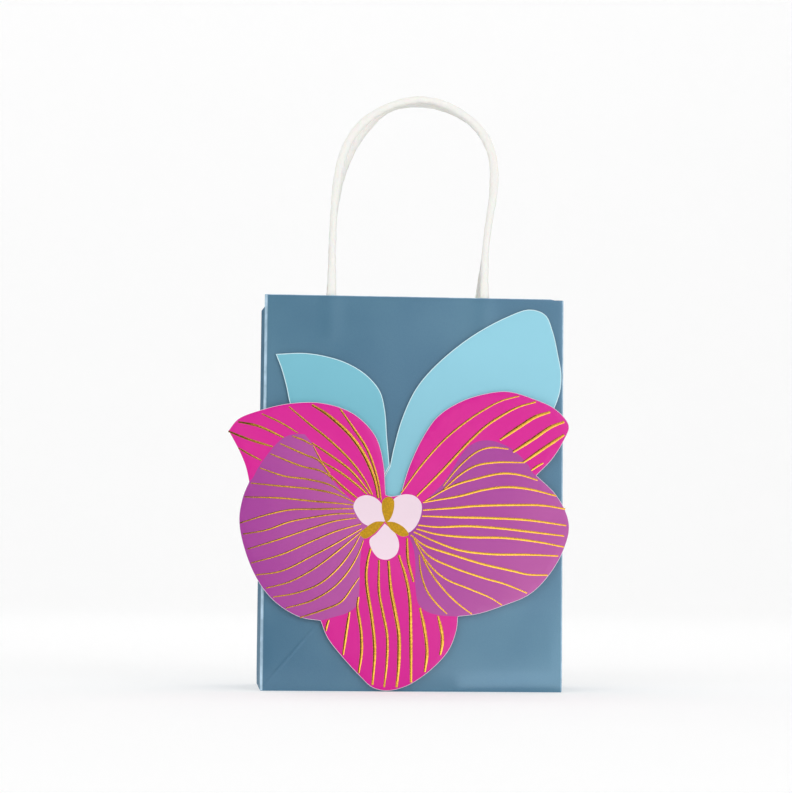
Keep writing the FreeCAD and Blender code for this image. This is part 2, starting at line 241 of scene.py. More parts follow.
# Foil veins: width, then the places that each one passes through, from either end
VEINS = [
    (1.05, (-73.9, 111.7), (-65.7, 110.1), (-54.9, 105.4)),
    (1, (-78.0, 107.7), (-68.7, 104.2), (-59.4, 101.5)),
    (0.8, (-64.1, 115.2), (-56.5, 111.8), (-48.9, 107.4)),
    (1, (-52.8, 118.3), (-43.1, 110.4), (-36.7, 105.5), (-27.0, 96.4), (-20.6, 88.1), (-17.4, 81.8)),
    (1.6, (-43.2, 119.3), (-36.8, 115.4), (-27.1, 106.9), (-20.7, 97.9), (-16.5, 88.1), (-15.0, 80.6)),
    (1.15, (-31.4, 117.7), (-25.9, 110.1), (-19.9, 101.1), (-16.6, 92.8), (-14.7, 85.7), (-13.8, 79.8)),
    (1.05, (-43.0, 103.3), (-35.4, 98.4), (-26.9, 92.2), (-21.0, 85.6), (-18.4, 82.2)),
    (1, (-39.1, 95.8), (-30.3, 90.7), (-23.5, 85.5), (-19.7, 82.0)),
    (1, (-35.3, 90.0), (-30.2, 85.5), (-23.9, 80.5)),
    (0.8, (-73.7, 100.8), (-68.6, 97.9), (-64.1, 95.7)),
    (0.65, (-42.5, 102.1), (-39.1, 95.8), (-34.0, 87.5)),
    (0.8, (-51.4, 106.1), (-47.0, 104.6), (-43.0, 102.5)),
    (0.8, (-56.4, 102.9), (-45.4, 98.2), (-40.4, 96.2), (-35.3, 90.6)),
    (0.8, (-60.3, 98.5), (-47.5, 93.6), (-39.1, 91.6), (-33.2, 87.9)),
    (0.8, (-64.6, 92.5), (-54.5, 89.3), (-45.3, 88.2), (-35.2, 85.8), (-29.0, 81.9)),
    (0.8, (-68.4, 86.2), (-55.7, 85.1), (-42.7, 84.0), (-33.1, 82.1), (-25.0, 78.8)),
    (0.8, (-70.9, 80.4), (-55.7, 80.1), (-42.7, 79.0), (-33.1, 78.3), (-25.4, 77.6)),
    (0.8, (-72.6, 69.5), (-61.8, 73.0), (-52.2, 75.2), (-39.5, 75.7), (-25.4, 76.1)),
    (0.8, (-71.3, 64.9), (-61.7, 66.7), (-52.2, 70.2), (-41.4, 72.4), (-33.0, 73.7), (-24.8, 74.0)),
    (0.8, (-69.3, 58.7), (-55.4, 63.2), (-42.5, 67.8), (-33.0, 70.8), (-24.0, 72.2)),
    (0.8, (-67.8, 52.9), (-55.3, 56.6), (-42.5, 62.3), (-32.9, 66.4), (-21.9, 69.8)),
    (0.8, (-65.6, 48.0), (-55.2, 49.7), (-42.4, 56.1), (-32.9, 61.2), (-21.8, 67.8)),
    (0.8, (-61.4, 42.6), (-51.9, 45.2), (-42.3, 50.3), (-32.8, 57.4), (-22.4, 66.2)),
    (0.8, (-58.4, 38.9), (-48.7, 40.7), (-39.1, 44.6), (-31.1, 51.6), (-25.3, 59.6), (-22.4, 65.1)),
    (0.8, (-53.0, 34.4), (-42.2, 37.6), (-33.5, 42.9), (-27.7, 49.2), (-23.2, 56.9), (-21.0, 62.8)),
    (0.8, (-47.1, 30.5), (-37.1, 33.9), (-30.1, 37.1), (-25.7, 42.9), (-22.7, 47.3)),
    (0.9, (44.2, 124.4), (36.6, 122.2), (28.5, 117.8), (20.5, 112.2), (12.5, 105.3), (3.4, 95.0), (-5.4, 82.8)),
    (1.15, (51.3, 122.0), (43.8, 119.7), (36.6, 115.8), (30.3, 111.5), (23.1, 104.8), (12.0, 92.7), (1.2, 81.6)),
    (1.6, (57.4, 117.8), (51.3, 115.7), (43.9, 111.0), (36.2, 105.7)),
    (1.6, (63.4, 113.7), (57.9, 111.5), (50.3, 106.3), (41.8, 100.7)),
    (1.5, (63.4, 108.2), (55.8, 103.1), (46.1, 96.3)),
    (1.05, (54.6, 96.2), (52.0, 94.8), (49.5, 93.0)),
    (0.8, (12.3, 86.0), (19.2, 94.5), (27.0, 100.9), (32.7, 102.5), (39.9, 101.9)),
    (0.9, (11.5, 83.5), (19.2, 90.7), (25.7, 94.6), (34.2, 96.2), (46.1, 96.3)),
    (1, (4.8, 79.6), (16.1, 86.0), (25.8, 89.1), (37.2, 91.6), (45.2, 91.0), (52.3, 88.9)),
    (1.05, (3.9, 79.0), (9.6, 80.1), (19.3, 81.9), (29.0, 84.5), (38.5, 85.9), (48.3, 85.2), (60.2, 82.4)),
    (1.05, (3.9, 75.8), (16.1, 76.8), (25.9, 77.8), (41.9, 78.4), (55.1, 78.3), (64.0, 76.9)),
    (1.05, (3.6, 73.3), (16.2, 73.0), (32.2, 72.8), (48.3, 72.1), (64.5, 70.0)),
    (1.05, (2.0, 69.5), (9.7, 68.8), (22.5, 69.3), (35.6, 68.6), (48.3, 67.3), (63.6, 65.6)),
    (1.05, (1.3, 67.9), (9.7, 65.8), (22.6, 64.7), (38.6, 64.5), (51.8, 63.1), (63.5, 61.0)),
    (1, (0.1, 66.6), (9.7, 62.5), (19.4, 59.2), (32.3, 57.7), (48.4, 57.6), (61.1, 57.2)),
    (1.05, (-1.2, 65.3), (4.5, 61.2), (16.3, 57.3), (29.2, 53.5), (42.1, 50.7), (48.4, 49.3), (56.7, 49.1)),
    (0.9, (0.1, 63.6), (6.6, 56.6), (16.3, 52.1), (29.2, 47.8), (38.7, 45.2), (48.1, 41.5)),
    (0.8, (0.7, 62.4), (5.8, 54.1), (13.0, 47.5), (22.7, 43.4), (32.4, 39.5), (37.5, 36.4)),
    (0.8, (2.0, 60.3), (6.7, 50.7), (13.0, 42.5), (19.6, 36.3), (24.9, 32.5)),
    (0.8, (2.4, 57.1), (3.3, 49.5), (5.9, 42.0), (9.9, 36.8), (14.4, 32.5)),
    (1.15, (-35.1, 29.6), (-35.9, 27.2), (-36.3, 25.0)),
    (1.3, (-26.5, 33.0), (-27.8, 24.0), (-29.0, 15.1)),
    (1.4, (-22.8, 39.2), (-23.2, 35.5), (-21.6, 25.1), (-21.3, 16.4), (-22.4, 7.7)),
    (1.5, (-17.9, 59.5), (-19.1, 54.7), (-19.7, 48.4), (-19.0, 41.3), (-17.2, 31.0), (-15.8, 17.5), (-16.6, 2.8)),
    (1.3, (-14.4, 54.7), (-14.2, 41.4), (-12.6, 33.1), (-10.7, 23.7), (-10.7, 12.7), (-11.7, 1.9)),
    (1.7, (-10.4, 54.4), (-9.3, 42.7), (-7.4, 33.1), (-5.8, 24.2), (-5.7, 11.9), (-6.5, 1.9)),
    (1.5, (-6.1, 56.8), (-3.1, 47.7), (-1.4, 39.0), (-0.8, 26.1), (-0.6, 14.2), (-0.5, 3.9)),
    (1.3, (-2.7, 64.0), (-2.2, 54.8), (0.2, 45.7)),
    (1.5, (3.0, 34.9), (5.0, 26.1), (6.1, 16.6), (5.2, 8.3)),
    (1.5, (10.6, 31.6), (12.4, 23.9), (12.4, 19.5), (11.6, 15.4)),
]
VEIN_END = 0.7  # a vein's width at its two ends, as a share of its full width

# Section of the cord: distance from its end, half its width and half its thickness, in millimetres
CORD_SECTION = [
    (0, 2.5, 0.7), (15, 2.45, 0.7), (19, 2.0, 1.05), (26, 1.8, 1.3), (40, 1.5, 1.4),
    (58, 1.5, 1.4), (72, 1.85, 1.4), (100, 1.9, 1.45), (120, 1.65, 1.5),
]
CORD_RADIUS = 1.5 * MM
LEG_OFFSET = 0.5 * MM + CORD_RADIUS  # from a wall's outer face to the cord's middle line
ARCH_GAP = 0.35 * MM  # between the two arches where they lean together

# Colours that no setting changes
WEAR_AND_HIGHLIGHT_COLOUR = (0.55, 0.76, 0.92)  # rubbed paper along the top edge, and a painted highlight with rubbing along the folds, widest beside the left fold
CARD_BACK_COLOUR = (0.82, 0.81, 0.78)
FOAM_COLOUR, FOAM_GAP_COLOUR = (0.86, 0.86, 0.83), (0.66, 0.66, 0.63)
CREASE_SLOPE = 0.86  # of the diagonal crease in the lower left corner, sideways for each step up

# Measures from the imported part

wall_low, wall_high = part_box("front_panel")
BAG_HEIGHT = wall_high[2]
HALF_WIDTH = wall_high[0]
HALF_DEPTH = -wall_low[1]
PACKED_PAPER = 0.25 * MM
GUSSET_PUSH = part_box("left_gusset")[1][0] + HALF_WIDTH - PACKED_PAPER
HEM_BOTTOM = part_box("front_hem")[0][2]
ENDS_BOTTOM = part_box("front_handle_ends")[0][2]
PATCH_LOW, PATCH_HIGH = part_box("front_handle_patch")[0][2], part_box("front_handle_patch")[1][2]
LEAF_BACK, LEAF_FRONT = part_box("left_leaf_card")[1][1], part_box("left_leaf_card")[0][1]
FLOWER_BACK, FLOWER_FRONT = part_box("flower_card")[1][1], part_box("flower_card")[0][1]


# Mesh helpers


def mesh_object(name, points, faces, materials, smooth=True):
    mesh = bpy.data.meshes.new(name)
    mesh.from_pydata([tuple(point) for point in points], [], [tuple(face) for face in faces])
    for material in materials:
        mesh.materials.append(material)
    mesh.polygons.foreach_set("use_smooth", [smooth] * len(mesh.polygons))
    mesh.update()
    piece = bpy.data.objects.new(name, mesh)
    bpy.context.scene.collection.objects.link(piece)
    return piece


def grid_faces(rows, columns, closed=False, flipped=False):
    """Quads over points laid out row by row."""
    faces = []
    for row in range(rows - 1):
        for column in range(columns if closed else columns - 1):
            after = (column + 1) % columns
            low, high = row * columns, (row + 1) * columns
            face = (low + column, low + after, high + after, high + column)
            faces.append(face[::-1] if flipped else face)
    return faces


def thicken(piece, thickness, inside=0):
    """Gives a sheet its thickness on the side away from its faces. Its other side takes a later material."""
    solid = piece.modifiers.new("paper", "SOLIDIFY")
    solid.thickness = thickness
    solid.offset = -1
    solid.material_offset = inside
    return piece


def place(piece, body, slot, *nodes):
    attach(piece, body)
    if nodes:
        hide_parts(*nodes)


def ramp(value, low, high):
    """0 below low, 1 above high, smooth between."""
    share = np.clip((value - low) / (high - low), 0, 1)
    return share * share * (3 - 2 * share)


def smooth_line(points, step):
    """Points about one step apart on a smooth line through the given ones."""
    points = np.array(points, float)
    if len(points) == 2:
        count = max(2, int(np.linalg.norm(points[1] - points[0]) / step) + 1)
        return points[0] + (points[1] - points[0]) * np.linspace(0, 1, count)[:, None]
    run = np.vstack([2 * points[0] - points[1], points, 2 * points[-1] - points[-2]])
    line = []
    for before, start, end, after in zip(run, run[1:], run[2:], run[3:]):
        spans = ((before, start), (start, end), (end, after))
        first, middle, last = (math.sqrt(np.linalg.norm(b - a)) for a, b in spans)
        leave = (start - before) / first - (end - before) / (first + middle) + (end - start) / middle
        arrive = (end - start) / middle - (after - start) / (middle + last) + (after - end) / last
        t = np.linspace(0, 1, max(2, int(np.linalg.norm(end - start) / step)), endpoint=False)[:, None]
        line.append(
            (2 * t**3 - 3 * t**2 + 1) * start + (t**3 - 2 * t**2 + t) * leave * middle
            + (3 * t**2 - 2 * t**3) * end + (t**3 - t**2) * arrive * middle
        )
    return np.vstack(line + [points[-1:]])


# Material helpers


def add_node(tree, kind, inputs=None, **settings):
    made = tree.nodes.new(kind)
    for name, value in settings.items():
        setattr(made, name, value)
    for key, value in (inputs or {}).items():
        if isinstance(value, bpy.types.NodeSocket):
            tree.links.new(value, made.inputs[key])
        else:
            made.inputs[key].default_value = value
    return made


def add_maths(tree, operation, first, second=0.0, third=None, clamp=False):
    inputs = {0: first, 1: second}
    if third is not None:
        inputs[2] = third
    return add_node(tree, "ShaderNodeMath", inputs, operation=operation, use_clamp=clamp).outputs[0]


def add_mix(tree, share, first, second):
    made = add_node(tree, "ShaderNodeMix", {0: share}, data_type="RGBA")
    for index, value in ((6, first), (7, second)):
        if isinstance(value, bpy.types.NodeSocket):
            tree.links.new(value, made.inputs[index])
        else:
            made.inputs[index].default_value = (*value, 1.0)
    return made.outputs[2]


def add_range(tree, value, low, high, to_low=0.0, to_high=1.0):
    return add_node(
        tree, "ShaderNodeMapRange", {0: value, 1: low, 2: high, 3: to_low, 4: to_high}, interpolation_type="SMOOTHSTEP"
    ).outputs[0]


def new_group(name, inputs, outputs):
    """An empty shader group with its sockets, and its input and output nodes."""
    tree = bpy.data.node_groups.new(name, "ShaderNodeTree")
    for label, kind, value in inputs:
        socket = tree.interface.new_socket(label, in_out="INPUT", socket_type=kind)
        if value is not None:
            socket.default_value = value
    for label, kind in outputs:
        tree.interface.new_socket(label, in_out="OUTPUT", socket_type=kind)
    return tree, tree.nodes.new("NodeGroupInput"), tree.nodes.new("NodeGroupOutput")


def fibre_group():
    """Felted paper: fine crossing fibres, and slow mottling."""
    if "paper fibre" in bpy.data.node_groups:
        return bpy.data.node_groups["paper fibre"]
    inputs = [("Vector", "NodeSocketVector", None), ("Fibres per metre", "NodeSocketFloat", 2500.0)]
    outputs = [("Fibre", "NodeSocketFloat"), ("Mottle", "NodeSocketFloat")]
    tree, given, result = new_group("paper fibre", inputs, outputs)
    layers = []
    for stretch in ((1.0, 1.0, 0.22), (0.22, 1.0, 1.0)):
        turned = add_node(tree, "ShaderNodeMapping", {"Vector": given.outputs[0], "Scale": stretch})
        noise = {"Vector": turned.outputs[0], "Scale": given.outputs[1], "Detail": 3.0, "Roughness": 0.6}
        layers.append(add_node(tree, "ShaderNodeTexNoise", noise).outputs[0])
    fibre = add_maths(tree, "MULTIPLY", add_maths(tree, "ADD", *layers), 0.5)
    slow = add_maths(tree, "MULTIPLY", given.outputs[1], 0.02)
    mottle = add_node(tree, "ShaderNodeTexNoise", {"Vector": given.outputs[0], "Scale": slow, "Detail": 2.0})
    tree.links.new(fibre, result.inputs[0])
    tree.links.new(mottle.outputs[0], result.inputs[1])
    return tree


def flake_group():
    """Small flat flakes, each with its own brightness, as in pearl ink and stamped foil."""
    if "flakes" in bpy.data.node_groups:
        return bpy.data.node_groups["flakes"]
    inputs = [("Vector", "NodeSocketVector", None), ("Flakes per metre", "NodeSocketFloat", 6000.0)]
    tree, given, result = new_group("flakes", inputs, [("Flake", "NodeSocketFloat")])
    cells = add_node(tree, "ShaderNodeTexVoronoi", {"Vector": given.outputs[0], "Scale": given.outputs[1]})
    split = add_node(tree, "ShaderNodeSeparateColor", {0: cells.outputs["Color"]})
    tree.links.new(split.outputs[0], result.inputs[0])
    return tree


def new_material(name, **constants):
    """A material with its surface node, the tree, and the place of the shaded point."""
    material = bpy.data.materials.new(name)
    material.use_nodes = True
    tree = material.node_tree
    surface = tree.nodes["Principled BSDF"]
    for label, value in constants.items():
        surface.inputs[label.replace("_", " ")].default_value = value
    where = tree.nodes.new("ShaderNodeTexCoord").outputs["Object"]
    return material, tree, surface, where


def fill_group(tree, group, vector, size):
    made = add_node(tree, "ShaderNodeGroup", node_tree=group)
    tree.links.new(vector, made.inputs[0])
    made.inputs[1].default_value = size
    return made


def add_bump(tree, surface, height, strength, distance):
    bump = add_node(tree, "ShaderNodeBump", {"Strength": strength, "Distance": distance, "Height": height})
    tree.links.new(bump.outputs[0], surface.inputs["Normal"])
    return bump


def plain_paper(name, colour, dark, roughness=0.8):
    """Uncoated paper or board, with fibres and a little mottling."""
    material, tree, surface, where = new_material(name, Roughness=roughness)
    paper = fill_group(tree, fibre_group(), where, 2200.0)
    share = add_range(tree, add_maths(tree, "ADD", paper.outputs[0], paper.outputs[1]), 0.75, 1.3)
    tree.links.new(add_mix(tree, share, tuple(c * dark for c in colour), colour), surface.inputs["Base Color"])
    add_bump(tree, surface, paper.outputs[0], 0.35, 0.06 * MM)
    return material


def bag_paper(bag):
    """Pearl laminate: flakes, slow clouds, a rubbed top edge, a painted highlight with rubbing along the folds, and a
    faint diagonal crease by the base.
    """
    material, tree, surface, where = new_material(
        "bag_paper", Metallic=0.2, Coat_Roughness=0.22, Coat_IOR=1.5, Specular_IOR_Level=0.5
    )
    split = add_node(tree, "ShaderNodeSeparateXYZ", {0: where})
    across, depth, up = split.outputs
    fibres = fill_group(tree, fibre_group(), where, 1500.0)
    flakes = fill_group(tree, flake_group(), where, 9000.0)
    clouds = add_node(tree, "ShaderNodeTexNoise", {"Vector": where, "Scale": 22.0, "Detail": 2.0})
    cloud_share = add_range(tree, clouds.outputs[0], 0.35, 0.75, 0.0, 0.45)
    share = add_maths(tree, "MULTIPLY_ADD", flakes.outputs[0], 0.35, cloud_share)
    cloudy = add_mix(tree, share, tuple(bag.paper_colour), tuple(bag.pearl_colour))
    # Painted highlight: the rounded folds, and a band of the front beside the left fold, turn towards the pale colour
    # as if catching light. The scuffs and the top edge are wear.
    beyond_x = add_range(tree, add_maths(tree, "ABSOLUTE", across), HALF_WIDTH - 0.9 * MM, HALF_WIDTH - 0.1 * MM)
    beyond_y = add_range(tree, add_maths(tree, "ABSOLUTE", depth), HALF_DEPTH - 0.9 * MM, HALF_DEPTH - 0.1 * MM)
    left_fold_highlight = add_range(tree, across, -HALF_WIDTH + 1.5 * MM, -HALF_WIDTH + 0.9 * MM)
    fold = add_maths(tree, "MULTIPLY", add_maths(tree, "MAXIMUM", beyond_x, left_fold_highlight), beyond_y)
    scuff_noise = add_node(tree, "ShaderNodeTexNoise", {"Vector": where, "Scale": 260.0})
    scuffs = add_range(tree, scuff_noise.outputs[0], 0.35, 0.7)
    top = add_range(tree, up, BAG_HEIGHT - 0.45 * MM, BAG_HEIGHT - 0.05 * MM)
    wear_and_highlight_strength = add_maths(tree, "MULTIPLY_ADD", scuffs, 0.35, 0.6)
    wear_and_highlight = add_maths(tree, "MULTIPLY", add_maths(tree, "MAXIMUM", fold, top), wear_and_highlight_strength)
    tree.links.new(add_mix(tree, wear_and_highlight, cloudy, WEAR_AND_HIGHLIGHT_COLOUR), surface.inputs["Base Color"])
    satin = add_range(tree, clouds.outputs[0], 0.3, 0.7, 0.28, 0.38)
    tucked = add_range(tree, add_maths(tree, "ABSOLUTE", depth), HALF_DEPTH - 0.8 * MM, HALF_DEPTH - 1.6 * MM)
    tree.links.new(add_maths(tree, "MULTIPLY_ADD", tucked, 0.3, satin), surface.inputs["Roughness"])
    tree.links.new(add_range(tree, tucked, 0.0, 1.0, 0.6, 0.05), surface.inputs["Coat Weight"])
    from_corner = add_maths(tree, "ADD", across, HALF_WIDTH)
    lean = add_maths(tree, "SUBTRACT", from_corner, add_maths(tree, "MULTIPLY", up, CREASE_SLOPE))
    near = add_maths(tree, "SUBTRACT", 1.0, add_range(tree, add_maths(tree, "ABSOLUTE", lean), 0.15 * MM, 1.3 * MM))
    fade = add_maths(tree, "SUBTRACT", 1.0, add_range(tree, up, 14 * MM, 34 * MM))
    facing = add_range(tree, depth, -HALF_DEPTH + 1.5 * MM, -HALF_DEPTH + 0.9 * MM)
    crease = add_maths(tree, "MULTIPLY", add_maths(tree, "MULTIPLY", near, fade), facing)
    height = add_maths(tree, "MULTIPLY_ADD", fibres.outputs[0], 0.12, crease)
    add_bump(tree, surface, height, 0.5, 0.12 * MM)
    return material


def cord_paper(handles):
    """Twisted white paper whose fibres run with the twist, on the piece's own map."""
    material, tree, surface, where = new_material(
        "handle_cord", Roughness=0.72, Subsurface_Weight=0.15, Subsurface_Scale=0.4 * MM
    )
    mapped = add_node(tree, "ShaderNodeUVMap", uv_map="wrap").outputs[0]
    stretched = add_node(tree, "ShaderNodeMapping", {"Vector": mapped, "Scale": (90.0, 14.0, 1.0)})
    noise = {"Vector": stretched.outputs[0], "Scale": 4.0, "Detail": 4.0, "Roughness": 0.65}
    creases = add_node(tree, "ShaderNodeTexNoise", noise)
    fibres = fill_group(tree, fibre_group(), where, 2600.0)
    colour = tuple(handles.cord_colour)
    share = add_range(tree, creases.outputs[0], 0.35, 0.65)
    shaded = add_mix(tree, share, tuple(c * 0.9 for c in colour), colour)
    tree.links.new(shaded, surface.inputs["Base Color"])
    height = add_maths(tree, "MULTIPLY_ADD", fibres.outputs[0], 0.4, creases.outputs[0])
    add_bump(tree, surface, height, 0.5, 0.15 * MM)
    return material


def printed_card(name, root, tip, low, high, axis, roughness=0.38):
    """Printed and varnished card whose colour drifts from root to tip along one direction."""
    material, tree, surface, where = new_material(name, Roughness=roughness, Specular_IOR_Level=0.28)
    toward = add_node(tree, "ShaderNodeVectorMath", {0: where, 1: axis}, operation="DOT_PRODUCT").outputs["Value"]
    fibres = fill_group(tree, fibre_group(), where, 1900.0)
    mottle = add_maths(tree, "SUBTRACT", fibres.outputs[1], 0.5)
    share = add_maths(tree, "MULTIPLY_ADD", mottle, 0.5, add_range(tree, toward, low, high), clamp=True)
    tree.links.new(add_mix(tree, share, tuple(root), tuple(tip)), surface.inputs["Base Color"])
    add_bump(tree, surface, fibres.outputs[0], 0.16, 0.03 * MM)
    return material


def gold_foil(name, colour, metal, smoothest, roughest):
    """Hot-stamped foil over card, with a fine ragged grain."""
    material, tree, surface, where = new_material(name, Metallic=metal)
    flakes = fill_group(tree, flake_group(), where, 3200.0)
    grain = add_node(tree, "ShaderNodeTexNoise", {"Vector": where, "Scale": 1400.0, "Detail": 3.0})
    colour = tuple(colour)
    share = add_range(tree, grain.outputs[0], 0.4, 0.62)
    tree.links.new(add_mix(tree, share, tuple(c * 0.8 for c in colour), colour), surface.inputs["Base Color"])
    tree.links.new(add_range(tree, flakes.outputs[0], 0.0, 1.0, smoothest, roughest), surface.inputs["Roughness"])
    height = add_maths(tree, "MULTIPLY_ADD", flakes.outputs[0], 0.3, grain.outputs[0])
    add_bump(tree, surface, height, 0.2, 0.03 * MM)
    return material


def foam_paper():
    """White closed-cell foam."""
    material, tree, surface, where = new_material("foam_pad", Roughness=0.9)
    cells = add_node(tree, "ShaderNodeTexVoronoi", {"Vector": where, "Scale": 2600.0})
    share = add_range(tree, cells.outputs["Distance"], 0.1, 0.6)
    tree.links.new(add_mix(tree, share, FOAM_COLOUR, FOAM_GAP_COLOUR), surface.inputs["Base Color"])
    add_bump(tree, surface, cells.outputs["Distance"], 0.5, 0.1 * MM)
    return material


# Folded skin of the bag


def outline_point(distance, radius):
    """Place and outward direction at a distance along the rounded plan of the bag, from its front left fold."""
    distance = np.asarray(distance, float)
    place_xy = np.zeros((len(distance), 2))
    outward = np.zeros((len(distance), 2))
    start = 0.0
    for side in range(4):
        turn = side * math.pi / 2
        along = np.array([math.cos(turn), math.sin(turn)])
        out = np.array([math.sin(turn), -math.cos(turn)])
        half_run = (HALF_WIDTH if side % 2 == 0 else HALF_DEPTH) - radius
        reach = HALF_DEPTH if side % 2 == 0 else HALF_WIDTH
        flat = (distance >= start - 1e-9) & (distance < start + 2 * half_run - 1e-9)
        place_xy[flat] = out * reach + along * (distance[flat] - start - half_run)[:, None]
        outward[flat] = out
        start += 2 * half_run
        bend = (distance >= start - 1e-9) & (distance < start + radius * math.pi / 2 - 1e-9)
        angle = (distance[bend] - start) / radius
        facing = out * np.cos(angle)[:, None] + along * np.sin(angle)[:, None]
        place_xy[bend] = along * half_run + out * (reach - radius) + facing * radius
        outward[bend] = facing
        start += radius * math.pi / 2
    return place_xy, outward


def wide_wall_sink(bag, across, height, back):
    """How far the front or back wall lies in from its flat plane."""
    phase = 2.1 if back else 0.0
    fade = ramp(HALF_WIDTH - np.abs(across), 0.0, 7 * MM)
    upright_share = np.sin(np.pi * np.clip(height / BAG_HEIGHT, 0, 1))
    sag = bag.panel_sag * upright_share * np.cos(across * math.pi / 2 / HALF_WIDTH)
    slow = np.sin(across * 61 + phase) * np.sin(height * 47 + 1.3 + phase)
    slow = slow + 0.5 * np.sin(across * 118 - height * 83 + phase)
    sink = (sag + bag.ripple * slow) * fade
    lift = ramp(height, ENDS_BOTTOM - 3 * MM, ENDS_BOTTOM + 3 * MM)
    route = HANDLE_ROUTES["back_handle" if back else "front_handle"]
    for foot in (route[0][0] * MM, route[-1][0] * MM):
        sink = sink - 0.16 * MM * lift * np.exp(-(((across - foot) / (3.6 * MM)) ** 2))
    return sink


def gusset_sink(bag, depth, height):
    """How far a side wall lies in: it folds to a middle crease above a low triangle at the base."""
    half = HALF_DEPTH - bag.paper
    share = np.minimum(1 - np.abs(depth) / half, height / half)
    slow = np.sin(depth * 140 + 0.7) * np.sin(height * 52 + 0.4)
    return GUSSET_PUSH * np.clip(share, 0, 1) + bag.ripple * slow * ramp(HALF_DEPTH - np.abs(depth), 0, 6 * MM)


def skin_points(bag, distance, height, inset):
    """Points of the folded sheet for arrays of distance along the plan, height and depth into the paper."""
    place_xy, outward = outline_point(distance, bag.fold_radius)
    across, depth = place_xy[:, 0], place_xy[:, 1]
    on_side = np.abs(outward[:, 0]) > 0.999
    on_wide = np.abs(outward[:, 1]) > 0.999
    sink = np.zeros(len(distance))
    sink[on_side] = gusset_sink(bag, depth[on_side], height[on_side])
    for back in (False, True):
        part = on_wide & ((outward[:, 1] > 0) == back)
        sink[part] = wide_wall_sink(bag, across[part], height[part], back)
    # The walls stand out most a little above the base, and more on the right.
    swell = ramp(height, 0.0, 9 * MM) * (1 - ramp(height, 9 * MM, 34 * MM))
    swell = swell * (0.35 + 0.65 * ramp(across, -10 * MM, 60 * MM))
    sink = sink - bag.base_swell * swell * on_wide * ramp(HALF_WIDTH - np.abs(across), 0.0, 5 * MM)
    sink = sink + bag.base_tuck * (1 - ramp(height, 0.0, 9 * MM)) ** 2
    flat = place_xy - outward * (sink + inset)[:, None]
    # The front's top edge drops a little beside the right fold.
    step_down = 0.4 * MM * ramp(across, 58.6 * MM, 59.2 * MM) * ramp(-depth, 0.0, HALF_DEPTH)
    step_down = step_down * ramp(height, 150 * MM, 162 * MM)
    return np.column_stack([flat, height - step_down])


def plan_distances(bag):
    """Distances along the plan at which the skin has its columns."""
    radius = bag.fold_radius
    marks = []
    start = 0.0
    for side in range(4):
        run = 2 * ((HALF_WIDTH if side % 2 == 0 else HALF_DEPTH) - radius)
        count = 2 * round(run / bag.grid_step / 2)
        marks += list(start + np.linspace(0, run, count, endpoint=False))
        start += run
        marks += list(start + np.linspace(0, radius * math.pi / 2, 5, endpoint=False))
        start += radius * math.pi / 2
    return np.array(marks)


def skin_rows(bag):
    """Heights and depths into the paper, from the tuck at the base over the top edge and down the turned-in hem."""
    rows = [(0.02 * MM, 0.9 * MM), (0.02 * MM, 0.5 * MM), (0.12 * MM, 0.18 * MM), (0.4 * MM, 0.0)]
    bend = bag.hem_gap / 2
    count = round((BAG_HEIGHT - 1.2 * MM) / bag.grid_step)
    rows += [(height, 0.0) for height in np.linspace(1.2 * MM, BAG_HEIGHT - bend, count)]
    for angle in np.linspace(0, math.pi, 7)[1:-1]:
        rows.append((BAG_HEIGHT - bend + bend * math.sin(angle), bend * (1 - math.cos(angle))))
    rows += [(height, bag.hem_gap) for height in np.linspace(BAG_HEIGHT - bend, HEM_BOTTOM, 14)]
    return rows


def seam_tab_mesh(bag, material):
    """The glued seam tab, which follows the inside of the back wall."""
    low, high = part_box("side_seam_tab")
    columns, rows = 9, 60
    across = np.linspace(high[0], low[0], columns)
    points = []
    for height in np.linspace(low[2], high[2], rows):
        level = np.full(columns, height)
        deep = HALF_DEPTH - wide_wall_sink(bag, across, level, True) - bag.hem_gap
        points.append(np.column_stack([across, deep, level]))
    tab = mesh_object("seam_tab", np.vstack(points), grid_faces(rows, columns, flipped=True), [material])
    return thicken(tab, bag.paper)


class GIFTBAG_OT_fold_skin(bpy.types.Operator):
    """Fold the bag's walls, gussets and turned-in top edge from one sheet"""

    bl_idname = "giftbag.fold_skin"
    bl_label = "Fold the bag"

    def execute(self, context):
        bag = context.scene.giftbag_bag
        outside = bag_paper(bag)
        inside = plain_paper("bag_inside", tuple(bag.inside_colour), 0.93)
        distances = plan_distances(bag)
        rows = skin_rows(bag)
        points = []
        for height, inset in rows:
            fill = np.ones(len(distances))
            points.append(skin_points(bag, distances, fill * height, fill * inset))
        skin = mesh_object(
            "bag_skin", np.vstack(points), grid_faces(len(rows), len(distances), closed=True), [outside, inside]
        )
        thicken(skin, bag.paper, inside=1)
        place(
            skin, "bag", "bag_paper", "front_panel", "back_panel", "left_gusset", "right_gusset",
            "front_hem", "back_hem", "left_hem", "right_hem",
        )
        place(seam_tab_mesh(bag, inside), "bag", "bag_paper", "side_seam_tab")
        return {"FINISHED"}


class GIFTBAG_OT_lay_base(bpy.types.Operator):
    """Finish the folded base flaps and cut the loose base board"""

    bl_idname = "giftbag.lay_base"
    bl_label = "Lay the base"

    def execute(self, context):
        bag = context.scene.giftbag_bag
        outside = bpy.data.materials["bag_paper"]
        for side in ("front", "back", "left", "right"):
            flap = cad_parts[side + "_base_flap"]
            flap.data.materials.clear()
            flap.data.materials.append(outside)
        board_paper = plain_paper("base_board", tuple(bag.board_colour), 0.8, roughness=0.9)
        low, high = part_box("base_board")
        board = mesh_object("base_board_sheet", *board_shape(low, high), [board_paper])
        soften = board.modifiers.new("soft edges", "BEVEL")
        soften.width = 0.14 * MM
        soften.segments = 2
        place(board, "base_board", "base_board", "base_board")
        return {"FINISHED"}


